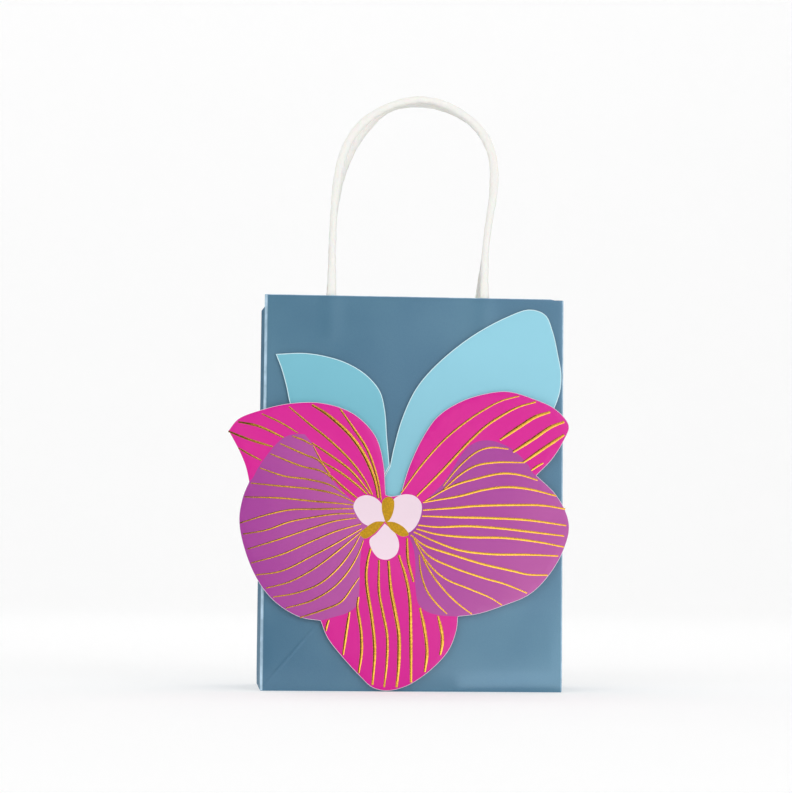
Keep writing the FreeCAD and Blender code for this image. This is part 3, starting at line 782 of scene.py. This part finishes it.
def board_shape(low, high):
    """Points and faces of a board with drawn-in corners, whose underside rises a little in the middle."""
    corner, rise = 0.6 * MM, 0.06 * MM
    columns = np.linspace(low[0], high[0], 33)
    rows = np.linspace(low[1], high[1], 17)
    wide, deep = len(columns), len(rows)
    points = []
    for top in (False, True):
        for depth in rows:
            for across in columns:
                x, y = across, depth
                if depth in (rows[0], rows[-1]) and across in (columns[0], columns[-1]):
                    x, y = x - math.copysign(corner, x), y - math.copysign(corner, y)
                bow = rise * math.sin(math.pi * (across - low[0]) / (high[0] - low[0]))
                points.append((x, y, high[2] if top else low[2] + bow))
    size = wide * deep
    faces = grid_faces(deep, wide, flipped=True)
    faces += [tuple(size + i for i in face) for face in grid_faces(deep, wide)]
    edge = list(range(wide)) + [row * wide + wide - 1 for row in range(1, deep)]
    edge += [(deep - 1) * wide + i for i in range(wide - 2, -1, -1)] + [row * wide for row in range(deep - 2, 0, -1)]
    for first, second in zip(edge, edge[1:] + edge[:1]):
        faces.append((first, second, size + second, size + first))
    return points, faces


# Handles


def route_line(route, lean, side):
    """The arch's middle line as a smooth curve through its leaning plane, sampled evenly."""
    curve = bpy.data.curves.new("route", "CURVE")
    curve.dimensions = "3D"
    curve.resolution_u = 24
    spline = curve.splines.new("NURBS")
    spline.points.add(len(route) - 1)
    for point, (across, along) in zip(spline.points, route):
        across, along = across * MM, along * MM
        y = -HALF_DEPTH + LEG_OFFSET * math.cos(lean) + along * math.sin(lean)
        z = BAG_HEIGHT - LEG_OFFSET * math.sin(lean) + along * math.cos(lean)
        point.co = (across, y * side, z, 1.0)
    spline.order_u = 3
    spline.use_endpoint_u = True
    holder = bpy.data.objects.new("route", curve)
    bpy.context.scene.collection.objects.link(holder)
    graph = bpy.context.evaluated_depsgraph_get()
    line = bpy.data.meshes.new_from_object(holder.evaluated_get(graph))
    points = np.array([vertex.co[:] for vertex in line.vertices])
    bpy.data.objects.remove(holder)
    bpy.data.curves.remove(curve)
    bpy.data.meshes.remove(line)
    return points


def evenly_spaced(points, step):
    lengths = np.concatenate([[0], np.cumsum(np.linalg.norm(np.diff(points, axis=0), axis=1))])
    count = int(lengths[-1] / step) + 1
    marks = np.linspace(0, lengths[-1], count)
    return np.column_stack([np.interp(marks, lengths, points[:, axis]) for axis in range(3)]), marks


def cord_mesh(name, line, handles, material):
    """A twisted paper cord along a line, pressed flat at both ends."""
    centres, marks = evenly_spaced(line, handles.ring_step)
    for _ in range(6):
        centres[1:-1] = (centres[:-2] + 2 * centres[1:-1] + centres[2:]) / 4
    tangents = np.gradient(centres, axis=0)
    tangents /= np.linalg.norm(tangents, axis=1)[:, None]
    thick = np.array([0.0, 1.0, 0.0]) - tangents * tangents[:, 1:2]
    thick /= np.linalg.norm(thick, axis=1)[:, None]
    wide = np.cross(tangents, thick)
    from_end = np.minimum(marks, marks[-1] - marks)
    stations, wides, thicks = np.array(CORD_SECTION).T * MM
    half_wide = np.interp(from_end, stations, wides)
    half_thick = np.interp(from_end, stations, thicks)
    wander = 1 + 0.03 * np.sin(marks * 310) + 0.02 * np.sin(marks * 713 + 1)
    count = handles.ring_points
    angles = np.linspace(0, 2 * math.pi, count, endpoint=False)
    turn = 2 * math.pi * marks / handles.twist_pitch
    depth = handles.groove * ramp(from_end, 18 * MM, 30 * MM)
    points = []
    for i in range(len(marks)):
        turned = (angles + turn[i]) % math.pi
        away = np.minimum(turned, math.pi - turned)
        radius = (1 - depth[i] * np.exp(-((away / 0.3) ** 2))) * wander[i]
        sideways = np.outer(np.cos(angles) * half_wide[i] * radius, wide[i])
        points.append(centres[i] + (sideways + np.outer(np.sin(angles) * half_thick[i] * radius, thick[i])))
    faces = grid_faces(len(marks), count, closed=True)
    last = len(marks) * count
    faces += [tuple(range(count))[::-1], tuple(range(last - count, last))]
    cord = mesh_object(name, np.vstack(points), faces, [material])
    wrap = cord.data.uv_layers.new(name="wrap")
    for loop in cord.data.loops:
        ring, around = divmod(loop.vertex_index, count)
        wrap.data[loop.index].uv = (around / count + marks[ring] / handles.twist_pitch, marks[ring] * 10)
    return cord


def patch_mesh(name, bag, route, back, material):
    """The paper patch inside the top edge, which rises over the two glued ends."""
    left, right = route[0][0] * MM, route[-1][0] * MM
    border = 12 * MM
    across = np.linspace(left - border, right + border, 150)
    heights = np.linspace(PATCH_LOW, PATCH_HIGH, 22)
    side = 1 if back else -1
    points = []
    for height in heights:
        rise = np.zeros(len(across))
        for foot in (left, right):
            rise = np.maximum(rise, 1.5 * MM * (1 - ramp(np.abs(across - foot), 2.4 * MM, 4.6 * MM)))
        sink = wide_wall_sink(bag, across, np.full(len(across), height), back)
        wave = 0.05 * MM * np.sin(across * 240 + height * 160)
        deep = HALF_DEPTH - sink - bag.hem_gap - 0.28 * MM - rise - wave
        points.append(np.column_stack([across, deep * side, np.full(len(across), height)]))
    patch = mesh_object(name, np.vstack(points), grid_faces(len(heights), len(across), flipped=not back), [material])
    return thicken(patch, 0.2 * MM)


class GIFTBAG_OT_wind_handles(bpy.types.Operator):
    """Wind the two paper cords, press their ends flat and glue a patch over each pair"""

    bl_idname = "giftbag.wind_handles"
    bl_label = "Wind the handles"

    def execute(self, context):
        bag = context.scene.giftbag_bag
        handles = context.scene.giftbag_handles
        cord_finish = cord_paper(handles)
        patch_finish = plain_paper("patch_paper", tuple(handles.patch_colour), 0.92)
        arch_top = max(along for route in HANDLE_ROUTES.values() for _, along in route) * MM
        reach = HALF_DEPTH - CORD_RADIUS - ARCH_GAP / 2
        lean = math.asin(reach / math.hypot(arch_top, LEG_OFFSET)) - math.atan2(LEG_OFFSET, arch_top)
        for name, route in HANDLE_ROUTES.items():
            back = name == "back_handle"
            side = -1 if back else 1
            arch = route_line(route, lean, side)
            ends = []
            for foot in (route[0][0] * MM, route[-1][0] * MM):
                heights = np.linspace(ENDS_BOTTOM, BAG_HEIGHT - 1.4 * MM, 12)
                inward = 1.3 * MM + 0.45 * MM * ramp(heights, BAG_HEIGHT - 5 * MM, BAG_HEIGHT)
                ends.append(np.column_stack([np.full(12, foot), side * (-HALF_DEPTH + inward), heights]))
            line = np.vstack([ends[0], arch, ends[1][::-1]])
            cord = cord_mesh(name + "_cord", line, handles, cord_finish)
            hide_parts(name, name + "_ends")
            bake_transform(cord)
            patch = patch_mesh(name + "_patch_sheet", bag, route, back, patch_finish)
            place(patch, "bag", "patch_paper", name + "_patch")
        return {"FINISHED"}


# Cards


def outline_polygon(stretches, step=0.7):
    """One closed line of points, in millimetres, from an outline's smooth stretches."""
    return np.vstack([smooth_line(stretch, step)[:-1] for stretch in stretches])


def inside_polygon(points, polygon):
    """Which of the points lie inside the closed line."""
    found = np.zeros(len(points), bool)
    for (x0, y0), (x1, y1) in zip(polygon, np.roll(polygon, -1, axis=0)):
        crosses = (y0 > points[:, 1]) != (y1 > points[:, 1])
        with np.errstate(divide="ignore", invalid="ignore"):
            edge = (x1 - x0) * (points[:, 1] - y0) / (y1 - y0) + x0
        found ^= crosses & (points[:, 0] < edge)
    return found


def counter_clockwise(polygon):
    x, y = polygon[:, 0], polygon[:, 1]
    area = np.sum(x * np.roll(y, -1) - np.roll(x, -1) * y)
    return polygon if area > 0 else polygon[::-1]


def moved_outward(polygon, distance):
    """The polygon with every point moved square to its edge. It runs counter-clockwise."""
    along = np.roll(polygon, -1, axis=0) - np.roll(polygon, 1, axis=0)
    along /= np.maximum(np.linalg.norm(along, axis=1), 1e-9)[:, None]
    return polygon + np.column_stack([along[:, 1], -along[:, 0]]) * distance


def card_face(face_edge, areas):
    """Flat points, triangles, each triangle's material index, and the border's points in order."""
    loops = [face_edge] + [polygon for _, polygons in areas for polygon in polygons]
    points, edges = [], []
    for loop in loops:
        first = len(points)
        points += [Vector(point) for point in loop]
        edges += [(first + i, first + (i + 1) % len(loop)) for i in range(len(loop))]
    low, high = face_edge.min(axis=0), face_edge.max(axis=0)
    across, up = np.meshgrid(np.arange(low[0], high[0], 3.0), np.arange(low[1], high[1], 3.0))
    across = across + (np.arange(len(across)) % 2)[:, None] * 1.5
    inner = np.column_stack([across.ravel(), up.ravel()])
    points += [Vector(point) for point in inner[inside_polygon(inner, moved_outward(face_edge, -0.8))]]
    found, _, triangles, *_ = geometry.delaunay_2d_cdt(points, edges, [], 0, 1e-4)
    found = np.array([point[:] for point in found])
    triangles = np.array([triangle for triangle in triangles if len(triangle) == 3])
    triangles = triangles[inside_polygon(found[triangles].mean(axis=1), face_edge)]
    corners = found[triangles]
    sides = np.cross(corners[:, 1] - corners[:, 0], corners[:, 2] - corners[:, 0])
    triangles[sides < 0] = triangles[sides < 0][:, ::-1]
    triangles = triangles[np.abs(sides) > 1e-7]

    centres = found[triangles].mean(axis=1)
    kinds = np.zeros(len(triangles), int)
    for index, polygons in reversed(areas):
        for polygon in polygons:
            kinds[inside_polygon(centres, polygon)] = index

    used, compact = np.unique(triangles, return_inverse=True)
    compact = compact.reshape(triangles.shape).tolist()
    directed = {(t[i], t[(i + 1) % 3]) for t in compact for i in range(3)}
    following = {a: b for a, b in directed if (b, a) not in directed}
    border = [min(following)]
    while following[border[-1]] != border[0]:
        border.append(following[border[-1]])
    return found[used], compact, kinds.tolist(), border


def card_mesh(name, outline, back, front, rim, drop, areas, materials, bend):
    """A card with printed areas on its face, a pale cut rim and a bare back.

    areas lists (material index, polygons) in the order in which they are tried; the rest takes index 0.
    The last two materials are the cut edge and the back. bend gives how far a place stands forward.
    """
    rim = rim / MM
    flat, triangles, marks, border = card_face(moved_outward(counter_clockwise(outline), -rim), areas)
    outer = moved_outward(flat[border], rim)

    def raised(plane, depth):
        forward = bend(plane[:, 0], plane[:, 1]) * MM
        return np.column_stack([plane[:, 0] * MM, depth - forward, plane[:, 1] * MM])

    layers = [raised(flat, front), raised(outer, front + drop), raised(outer, back - drop / 2), raised(flat, back)]
    count, ring = len(flat), len(border)
    back_start = count + 2 * ring
    edge_index, back_index = len(materials) - 2, len(materials) - 1
    faces = [tuple(triangle) for triangle in triangles]
    rings = [border, range(count, count + ring), range(count + ring, back_start), [back_start + i for i in border]]
    for near, far in zip(rings, rings[1:]):
        for i in range(ring):
            j = (i + 1) % ring
            faces.append((near[j], near[i], far[i], far[j]))
            marks.append(edge_index)
    for triangle in triangles:
        faces.append(tuple(back_start + i for i in triangle[::-1]))
        marks.append(back_index)
    card = mesh_object(name, np.vstack(layers), faces, materials)
    card.data.polygons.foreach_set("material_index", marks)
    card.data.polygons.foreach_set("use_smooth", [mark != edge_index for mark in marks])
    card.data.update()
    return card


def leaf_bend(across, up):
    """Leaves lie nearly flat, with a breath of a curl at their tips."""
    return 0.25 * ramp(up, 125.0, 160.0) * np.sin(across * 0.05 + 0.6)


def flower_bend(curl, across, up):
    """The flower's wide petals and its lip come a little forward at their tips."""
    wings = ramp(np.abs(across + 6), 34.0, 74.0)
    lip = ramp(-up, -26.0, 0.0)
    return curl / MM * (wings + 0.5 * lip)


class GIFTBAG_OT_cut_leaves(bpy.types.Operator):
    """Cut the two pale blue leaf cards"""

    bl_idname = "giftbag.cut_leaves"
    bl_label = "Cut the leaves"

    def execute(self, context):
        orchid = context.scene.giftbag_orchid
        edge = plain_paper("leaf_edge", tuple(orchid.leaf_edge_colour), 0.95)
        back = plain_paper("card_back", CARD_BACK_COLOUR, 0.94)
        # The left leaf's darker colour is painted shade.
        leaves = [
            ("left_leaf", LEFT_LEAF, orchid.painted_shade_leaf_colour, "left_leaf_card"),
            ("right_leaf", RIGHT_LEAF, orchid.leaf_colour, "right_leaf_card"),
        ]
        for name, outline, colour, node in leaves:
            tint = tuple(colour)
            light = tuple(min(1.0, c * 1.12 + 0.02) for c in tint)
            print_finish = printed_card(name + "_print", tint, light, 0.08, 0.16, (0.3, 0.0, 0.95), roughness=0.5)
            leaf = card_mesh(
                name, outline_polygon(outline), LEAF_BACK, LEAF_FRONT, orchid.leaf_rim, orchid.rim_drop,
                [], [print_finish, edge, back], leaf_bend,
            )
            place(leaf, "bag", "leaf_card", node)
        return {"FINISHED"}


class GIFTBAG_OT_cut_flower(bpy.types.Operator):
    """Cut the flower card and print its petals, lobes and foil heart"""

    bl_idname = "giftbag.cut_flower"
    bl_label = "Cut the flower"

    def execute(self, context):
        orchid = context.scene.giftbag_orchid
        pink, purple, pale = tuple(orchid.pink_colour), tuple(orchid.purple_colour), tuple(orchid.painted_light_purple_colour)
        pink_print = printed_card("pink_print", pink, tuple(orchid.pale_pink_colour), 0.02, 0.1, (0.75, 0.0, -0.62))
        # Painted light: both purple prints turn paler towards the right, the side the light comes from.
        left_print = printed_card("left_purple_print", purple, pale, -0.075, 0.02, (1.0, 0.0, 0.1))
        right_print = printed_card("right_purple_print", purple, pale, -0.05, 0.05, (0.8, 0.0, -0.55))
        lobe = tuple(orchid.lobe_colour)
        shade = tuple(c * 0.94 for c in lobe)
        lobe_print = printed_card("lobe_print", lobe, shade, 0.05, 0.08, (0.0, 0.0, 1.0), roughness=0.6)
        heart = gold_foil("gold_heart", orchid.heart_colour, 0.55, 0.35, 0.5)
        edge = plain_paper("card_edge", tuple(orchid.edge_colour), 0.9)
        back = bpy.data.materials["card_back"]
        order = [("heart", 4), ("lobe", 3), ("left_purple", 1), ("right_purple", 2)]
        areas = [(index, [outline_polygon(shape, 0.5) for shape in PRINTS[kind]]) for kind, index in order]
        flower = card_mesh(
            "flower", outline_polygon(FLOWER), FLOWER_BACK, FLOWER_FRONT, orchid.rim, orchid.rim_drop, areas,
            [pink_print, left_print, right_print, lobe_print, heart, edge, back],
            lambda across, up: flower_bend(orchid.curl, across, up),
        )
        place(flower, "bag", "flower_card", "flower_card")
        return {"FINISHED"}


def vein_tree(material):
    """Geometry nodes that turn every spline into a low ragged ridge of foil."""
    tree = bpy.data.node_groups.new("foil veins", "GeometryNodeTree")
    tree.interface.new_socket("Geometry", in_out="INPUT", socket_type="NodeSocketGeometry")
    labels = [("Step", 0.4 * MM), ("Height", 0.16), ("Raggedness", 0.3), ("Grain", 900.0)]
    for label, value in labels:
        tree.interface.new_socket(label, in_out="INPUT", socket_type="NodeSocketFloat").default_value = value
    tree.interface.new_socket("Geometry", in_out="OUTPUT", socket_type="NodeSocketGeometry")
    given, result = tree.nodes.new("NodeGroupInput"), tree.nodes.new("NodeGroupOutput")
    spacing = {"Curve": given.outputs["Geometry"], "Length": given.outputs["Step"]}
    line = add_node(tree, "GeometryNodeResampleCurve", spacing, mode="LENGTH")
    forward = {"Curve": line.outputs[0], "Normal": (0.0, -1.0, 0.0)}
    facing = add_node(tree, "GeometryNodeSetCurveNormal", forward, mode="FREE")
    radius = tree.nodes.new("GeometryNodeInputRadius")
    grain = add_node(
        tree, "ShaderNodeTexNoise", {"W": 3.0, "Scale": given.outputs["Grain"], "Detail": 2.0}, noise_dimensions="4D"
    )
    centred = add_maths(tree, "SUBTRACT", grain.outputs[0], 0.5)
    wander = add_maths(tree, "MULTIPLY_ADD", centred, given.outputs["Raggedness"], 1.0)
    scale = add_maths(tree, "MULTIPLY", radius.outputs[0], wander)
    circle = add_node(tree, "GeometryNodeCurvePrimitiveCircle", {"Resolution": 8, "Radius": 1.0})
    flat = add_node(tree, "ShaderNodeCombineXYZ", {"X": given.outputs["Height"], "Y": 1.0, "Z": 1.0})
    profile = add_node(tree, "GeometryNodeTransform", {"Geometry": circle.outputs[0], "Scale": flat.outputs[0]})
    ridge = add_node(
        tree, "GeometryNodeCurveToMesh",
        {"Curve": facing.outputs[0], "Profile Curve": profile.outputs[0], "Scale": scale, "Fill Caps": True},
    )
    real = add_node(tree, "GeometryNodeRealizeInstances", {"Geometry": ridge.outputs[0]})
    finished = add_node(tree, "GeometryNodeSetMaterial", {"Geometry": real.outputs[0], "Material": material})
    tree.links.new(finished.outputs[0], result.inputs[0])
    return tree


class GIFTBAG_OT_stamp_foil(bpy.types.Operator):
    """Stamp the gold foil veins on the flower"""

    bl_idname = "giftbag.stamp_foil"
    bl_label = "Stamp the foil"

    def execute(self, context):
        orchid = context.scene.giftbag_orchid
        curve = bpy.data.curves.new("vein lines", "CURVE")
        curve.dimensions = "3D"
        for width, *places in VEINS:
            line = smooth_line(places, 1.0)
            forward = flower_bend(orchid.curl, line[:, 0], line[:, 1])
            spline = curve.splines.new("POLY")
            spline.points.add(len(line) - 1)
            share = np.linspace(0, 1, len(line))
            taper = VEIN_END + (1 - VEIN_END) * ramp(np.minimum(share, 1 - share), 0.0, 0.3)
            for point, (across, up), ahead, size in zip(spline.points, line, forward, taper):
                point.co = (across * MM, FLOWER_FRONT - ahead * MM, up * MM, 1.0)
                point.radius = width * MM / 2 * size
        lines = bpy.data.objects.new("vein lines", curve)
        context.scene.collection.objects.link(lines)
        tree = vein_tree(gold_foil("gold_foil", orchid.foil_colour, 1.0, 0.07, 0.13))
        stamp = lines.modifiers.new("foil veins", "NODES")
        stamp.node_group = tree
        sockets = {item.name: item.identifier for item in tree.interface.items_tree if item.in_out == "INPUT"}
        stamp[sockets["Height"]] = orchid.foil_height
        stamp[sockets["Raggedness"]] = orchid.foil_noise
        graph = context.evaluated_depsgraph_get()
        mesh = bpy.data.meshes.new_from_object(lines.evaluated_get(graph))
        bpy.data.objects.remove(lines)
        if not mesh.polygons:
            raise RuntimeError("the foil veins came out empty")
        mesh.name = "foil_veins"
        mesh.polygons.foreach_set("use_smooth", [True] * len(mesh.polygons))
        veins = bpy.data.objects.new("foil_veins", mesh)
        context.scene.collection.objects.link(veins)
        place(veins, "bag", "flower_card")
        return {"FINISHED"}


class GIFTBAG_OT_stick_pads(bpy.types.Operator):
    """Stick the foam pads behind the cards"""

    bl_idname = "giftbag.stick_pads"
    bl_label = "Stick the pads"

    def execute(self, context):
        foam = foam_paper()
        for name in ("left_leaf_pads", "right_leaf_pads", "flower_pads"):
            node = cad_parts[name]
            points, faces = [], []
            for low, high in loose_boxes(node.data):
                add_pad(points, faces, low, high)
            pads = mesh_object(name.replace("pads", "foam"), points, faces, [foam])
            place(pads, "bag", "foam_pad", name)
        return {"FINISHED"}


def loose_boxes(mesh):
    """The lowest and highest corner of each separate solid in a mesh of loose triangles."""
    points = np.array([vertex.co[:] for vertex in mesh.vertices])
    keys = np.round(points * 1e6).astype(int)
    _, merged = np.unique(keys, axis=0, return_inverse=True)
    merged = merged.ravel()
    parent = list(range(merged.max() + 1))

    def top(i):
        while parent[i] != i:
            parent[i] = parent[parent[i]]
            i = parent[i]
        return i

    for face in mesh.polygons:
        corners = [top(merged[i]) for i in face.vertices]
        for corner in corners[1:]:
            parent[top(corner)] = top(corners[0])
    groups = np.array([top(i) for i in merged])
    return [(points[groups == g].min(axis=0), points[groups == g].max(axis=0)) for g in sorted(set(groups))]


def add_pad(points, faces, low, high):
    """One die-cut foam disc whose side bulges a little where it is pressed."""
    centre = (low + high) / 2
    radius = (high[0] - low[0]) / 2
    profile = [(0.0, 0.35), (0.0, 0.97), (0.06, 1.0), (0.5, 1.025), (0.94, 1.0), (1.0, 0.97), (1.0, 0.35)]
    back = high[1] + (0.4 * MM if abs(high[1] + HALF_DEPTH) < 1e-5 else 0.0)
    count = 48
    first = len(points)
    for share, width in profile:
        depth = back + (low[1] - back) * share
        for angle in np.linspace(0, 2 * math.pi, count, endpoint=False):
            x, z = radius * width * math.cos(angle), radius * width * math.sin(angle)
            points.append((centre[0] + x, depth, centre[2] + z))
    faces += [tuple(first + i for i in face) for face in grid_faces(len(profile), count, closed=True)]
    faces.append(tuple(range(first, first + count))[::-1])
    last = first + len(profile) * count
    faces.append(tuple(range(last - count, last)))


# Stage


def sweep_points():
    """Plan of the sweep, from its middle outward: a floor that curves up into a wall."""
    profile = [(0.0, 0.0), (0.6, 0.0), (1.5, 0.0), (2.2, 0.0)]
    for angle in np.linspace(0, math.pi / 2, 16)[1:]:
        profile.append((2.2 + 1.2 * math.sin(angle), 1.2 * (1 - math.cos(angle))))
    return profile + [(3.4, 3.4)]


def add_light(name, where, target, size, power):
    data = bpy.data.lights.new(name, "AREA")
    data.shape = "RECTANGLE"
    data.size, data.size_y = size
    data.energy = power
    lamp = bpy.data.objects.new(name, data)
    lamp.location = where
    lamp.rotation_euler = (Vector(target) - Vector(where)).to_track_quat("-Z", "Y").to_euler()
    lamp.visible_camera = False
    bpy.context.scene.collection.objects.link(lamp)
    return lamp


def add_card(name, corners, brightness):
    """A card on the set that only shows in glossy surfaces."""
    material, _, surface, _ = new_material(name, Roughness=1.0, Emission_Strength=brightness, Specular_IOR_Level=0.0)
    surface.inputs["Base Color"].default_value = (0.0, 0.0, 0.0, 1.0)
    surface.inputs["Emission Color"].default_value = (1.0, 1.0, 1.0, 1.0)
    card = mesh_object(name, corners, [(0, 1, 2, 3)], [material])
    card.visible_camera = card.visible_diffuse = card.visible_shadow = card.visible_transmission = False


def upright(left, right, top, depth):
    return [(left, depth, 0.0), (right, depth, 0.0), (right, depth, top), (left, depth, top)]


def lying(left, right, front, back):
    return [(left, front, MM), (right, front, MM), (right, back, MM), (left, back, MM)]


# Cards on the set: name, corners and brightness
REFLECTIONS = [
    ("dark_card_front", upright(-2.2, 0.115, 1.7, -1.6), 0.05),
    ("dark_card_back", upright(-1.6, -0.075, 1.6, 1.5), 0.03),
    ("dark_floor_card", lying(-2.2, 0.0, -1.6, -0.3), 0.08),
    ("dim_floor_card", lying(-2.2, 0.0, -0.3, -0.036), 0.85),
    ("bright_strip", upright(0.035, 0.12, 0.26, -1.59), 1.3),
    ("bright_card", upright(0.125, 1.2, 1.6, -1.6), 0.82),
    ("bright_floor_card", lying(0.02, 1.2, -1.3, -0.036), 1.9),
]
BAG_MIDDLE = (0.0, 0.0, 0.11)


def add_sweep(stage):
    """The pale floor and backdrop, turned round the bag like a bowl."""
    material, tree, surface, where = new_material(
        "sweep_paper", Roughness=0.9, Specular_IOR_Level=0.0, Emission_Strength=stage.glow
    )
    surface.inputs["Emission Color"].default_value = (1.0, 1.0, 1.0, 1.0)
    fibres = fill_group(tree, fibre_group(), where, 400.0)
    pale = tuple(stage.sweep_colour)
    colour = add_mix(tree, fibres.outputs[1], tuple(c * 0.985 for c in pale), pale)
    tree.links.new(colour, surface.inputs["Base Color"])
    count, below = 96, 0.05 * MM
    points = []
    for radius, height in sweep_points():
        for angle in np.linspace(0, 2 * math.pi, count, endpoint=False):
            points.append((radius * math.cos(angle), radius * math.sin(angle), height - below))
    mesh_object("sweep", points, grid_faces(len(sweep_points()), count, closed=True), [material])


def add_lights(scene, stage):
    world = bpy.data.worlds.new("studio")
    world.use_nodes = True
    sky = world.node_tree.nodes["Background"]
    sky.inputs[0].default_value = (1.0, 1.0, 1.0, 1.0)
    sky.inputs[1].default_value = stage.sky_strength
    scene.world = world
    key = add_light("key", (-0.9, -1.5, 1.3), BAG_MIDDLE, (1.2, 1.2), stage.key_power)
    key.visible_glossy = False
    # The side lamp is narrowed and hangs clear of the floor, so the floor beside it stays soft.
    side = add_light("side", (0.85, -1.35, 0.62), BAG_MIDDLE, (0.9, 0.7), stage.side_power)
    side.data.spread = math.radians(120)
    add_light("top", (0.1, 0.3, 1.9), BAG_MIDDLE, (1.8, 1.8), stage.top_power)
    add_light("back wall", (0.0, 0.9, 2.2), (0.0, 2.8, 0.6), (2.4, 0.8), stage.top_power * 2)


def add_camera(scene, stage):
    swing, tilt, roll = stage.camera_turn
    ahead = Vector((math.sin(swing) * math.cos(tilt), math.cos(swing) * math.cos(tilt), math.sin(tilt)))
    right = Vector((math.cos(swing), -math.sin(swing), 0.0))
    upward = right.cross(ahead)
    turned_right = right * math.cos(roll) + upward * math.sin(roll)
    turned_up = upward * math.cos(roll) - right * math.sin(roll)
    data = bpy.data.cameras.new("camera")
    data.lens = stage.lens
    data.sensor_width = 36.0
    data.sensor_fit = "AUTO"
    data.clip_start, data.clip_end = 0.01, 20.0
    camera = bpy.data.objects.new("camera", data)
    camera.location = stage.camera_place
    camera.rotation_euler = Matrix((turned_right, turned_up, -ahead)).transposed().to_euler()
    scene.collection.objects.link(camera)
    scene.camera = camera


class GIFTBAG_OT_set_stage(bpy.types.Operator):
    """Set the pale sweep, the soft lights and the camera"""

    bl_idname = "giftbag.set_stage"
    bl_label = "Set the stage"

    def execute(self, context):
        scene = context.scene
        stage = scene.giftbag_stage
        add_sweep(stage)
        for name, corners, brightness in REFLECTIONS:
            add_card(name, corners, brightness)
        add_lights(scene, stage)
        add_camera(scene, stage)
        scene.view_settings.view_transform = "Standard"
        return {"FINISHED"}


class GIFTBAG_PT_pieces(bpy.types.Panel):
    """Builds each piece of the gift bag"""

    bl_idname = "GIFTBAG_PT_pieces"
    bl_label = "Gift Bag"
    bl_space_type = "VIEW_3D"
    bl_region_type = "UI"
    bl_category = "Gift Bag"

    def draw(self, context):
        for operator in OPERATORS:
            self.layout.operator(operator.bl_idname)
        for name in SETTINGS:
            group = getattr(context.scene, name)
            box = self.layout.box()
            for prop in group.bl_rna.properties:
                if prop.identifier not in ("rna_type", "name"):
                    box.prop(group, prop.identifier)


SETTINGS = {
    "giftbag_bag": GIFTBAG_PG_bag,
    "giftbag_handles": GIFTBAG_PG_handles,
    "giftbag_orchid": GIFTBAG_PG_orchid,
    "giftbag_stage": GIFTBAG_PG_stage,
}
OPERATORS = [
    GIFTBAG_OT_set_stage,
    GIFTBAG_OT_fold_skin,
    GIFTBAG_OT_lay_base,
    GIFTBAG_OT_wind_handles,
    GIFTBAG_OT_cut_leaves,
    GIFTBAG_OT_cut_flower,
    GIFTBAG_OT_stamp_foil,
    GIFTBAG_OT_stick_pads,
]


def register():
    for group in SETTINGS.values():
        bpy.utils.register_class(group)
    for operator in OPERATORS:
        bpy.utils.register_class(operator)
    bpy.utils.register_class(GIFTBAG_PT_pieces)
    for name, group in SETTINGS.items():
        setattr(bpy.types.Scene, name, PointerProperty(type=group))


def unregister():
    for name in SETTINGS:
        delattr(bpy.types.Scene, name)
    bpy.utils.unregister_class(GIFTBAG_PT_pieces)
    for operator in reversed(OPERATORS):
        bpy.utils.unregister_class(operator)
    for group in SETTINGS.values():
        bpy.utils.unregister_class(group)


def main():
    register()
    bpy.ops.giftbag.set_stage()
    bpy.ops.giftbag.fold_skin()
    bpy.ops.giftbag.lay_base()
    bpy.ops.giftbag.wind_handles()
    bpy.ops.giftbag.cut_leaves()
    bpy.ops.giftbag.cut_flower()
    bpy.ops.giftbag.stamp_foil()
    bpy.ops.giftbag.stick_pads()


if __name__ == "__main__":
    main()
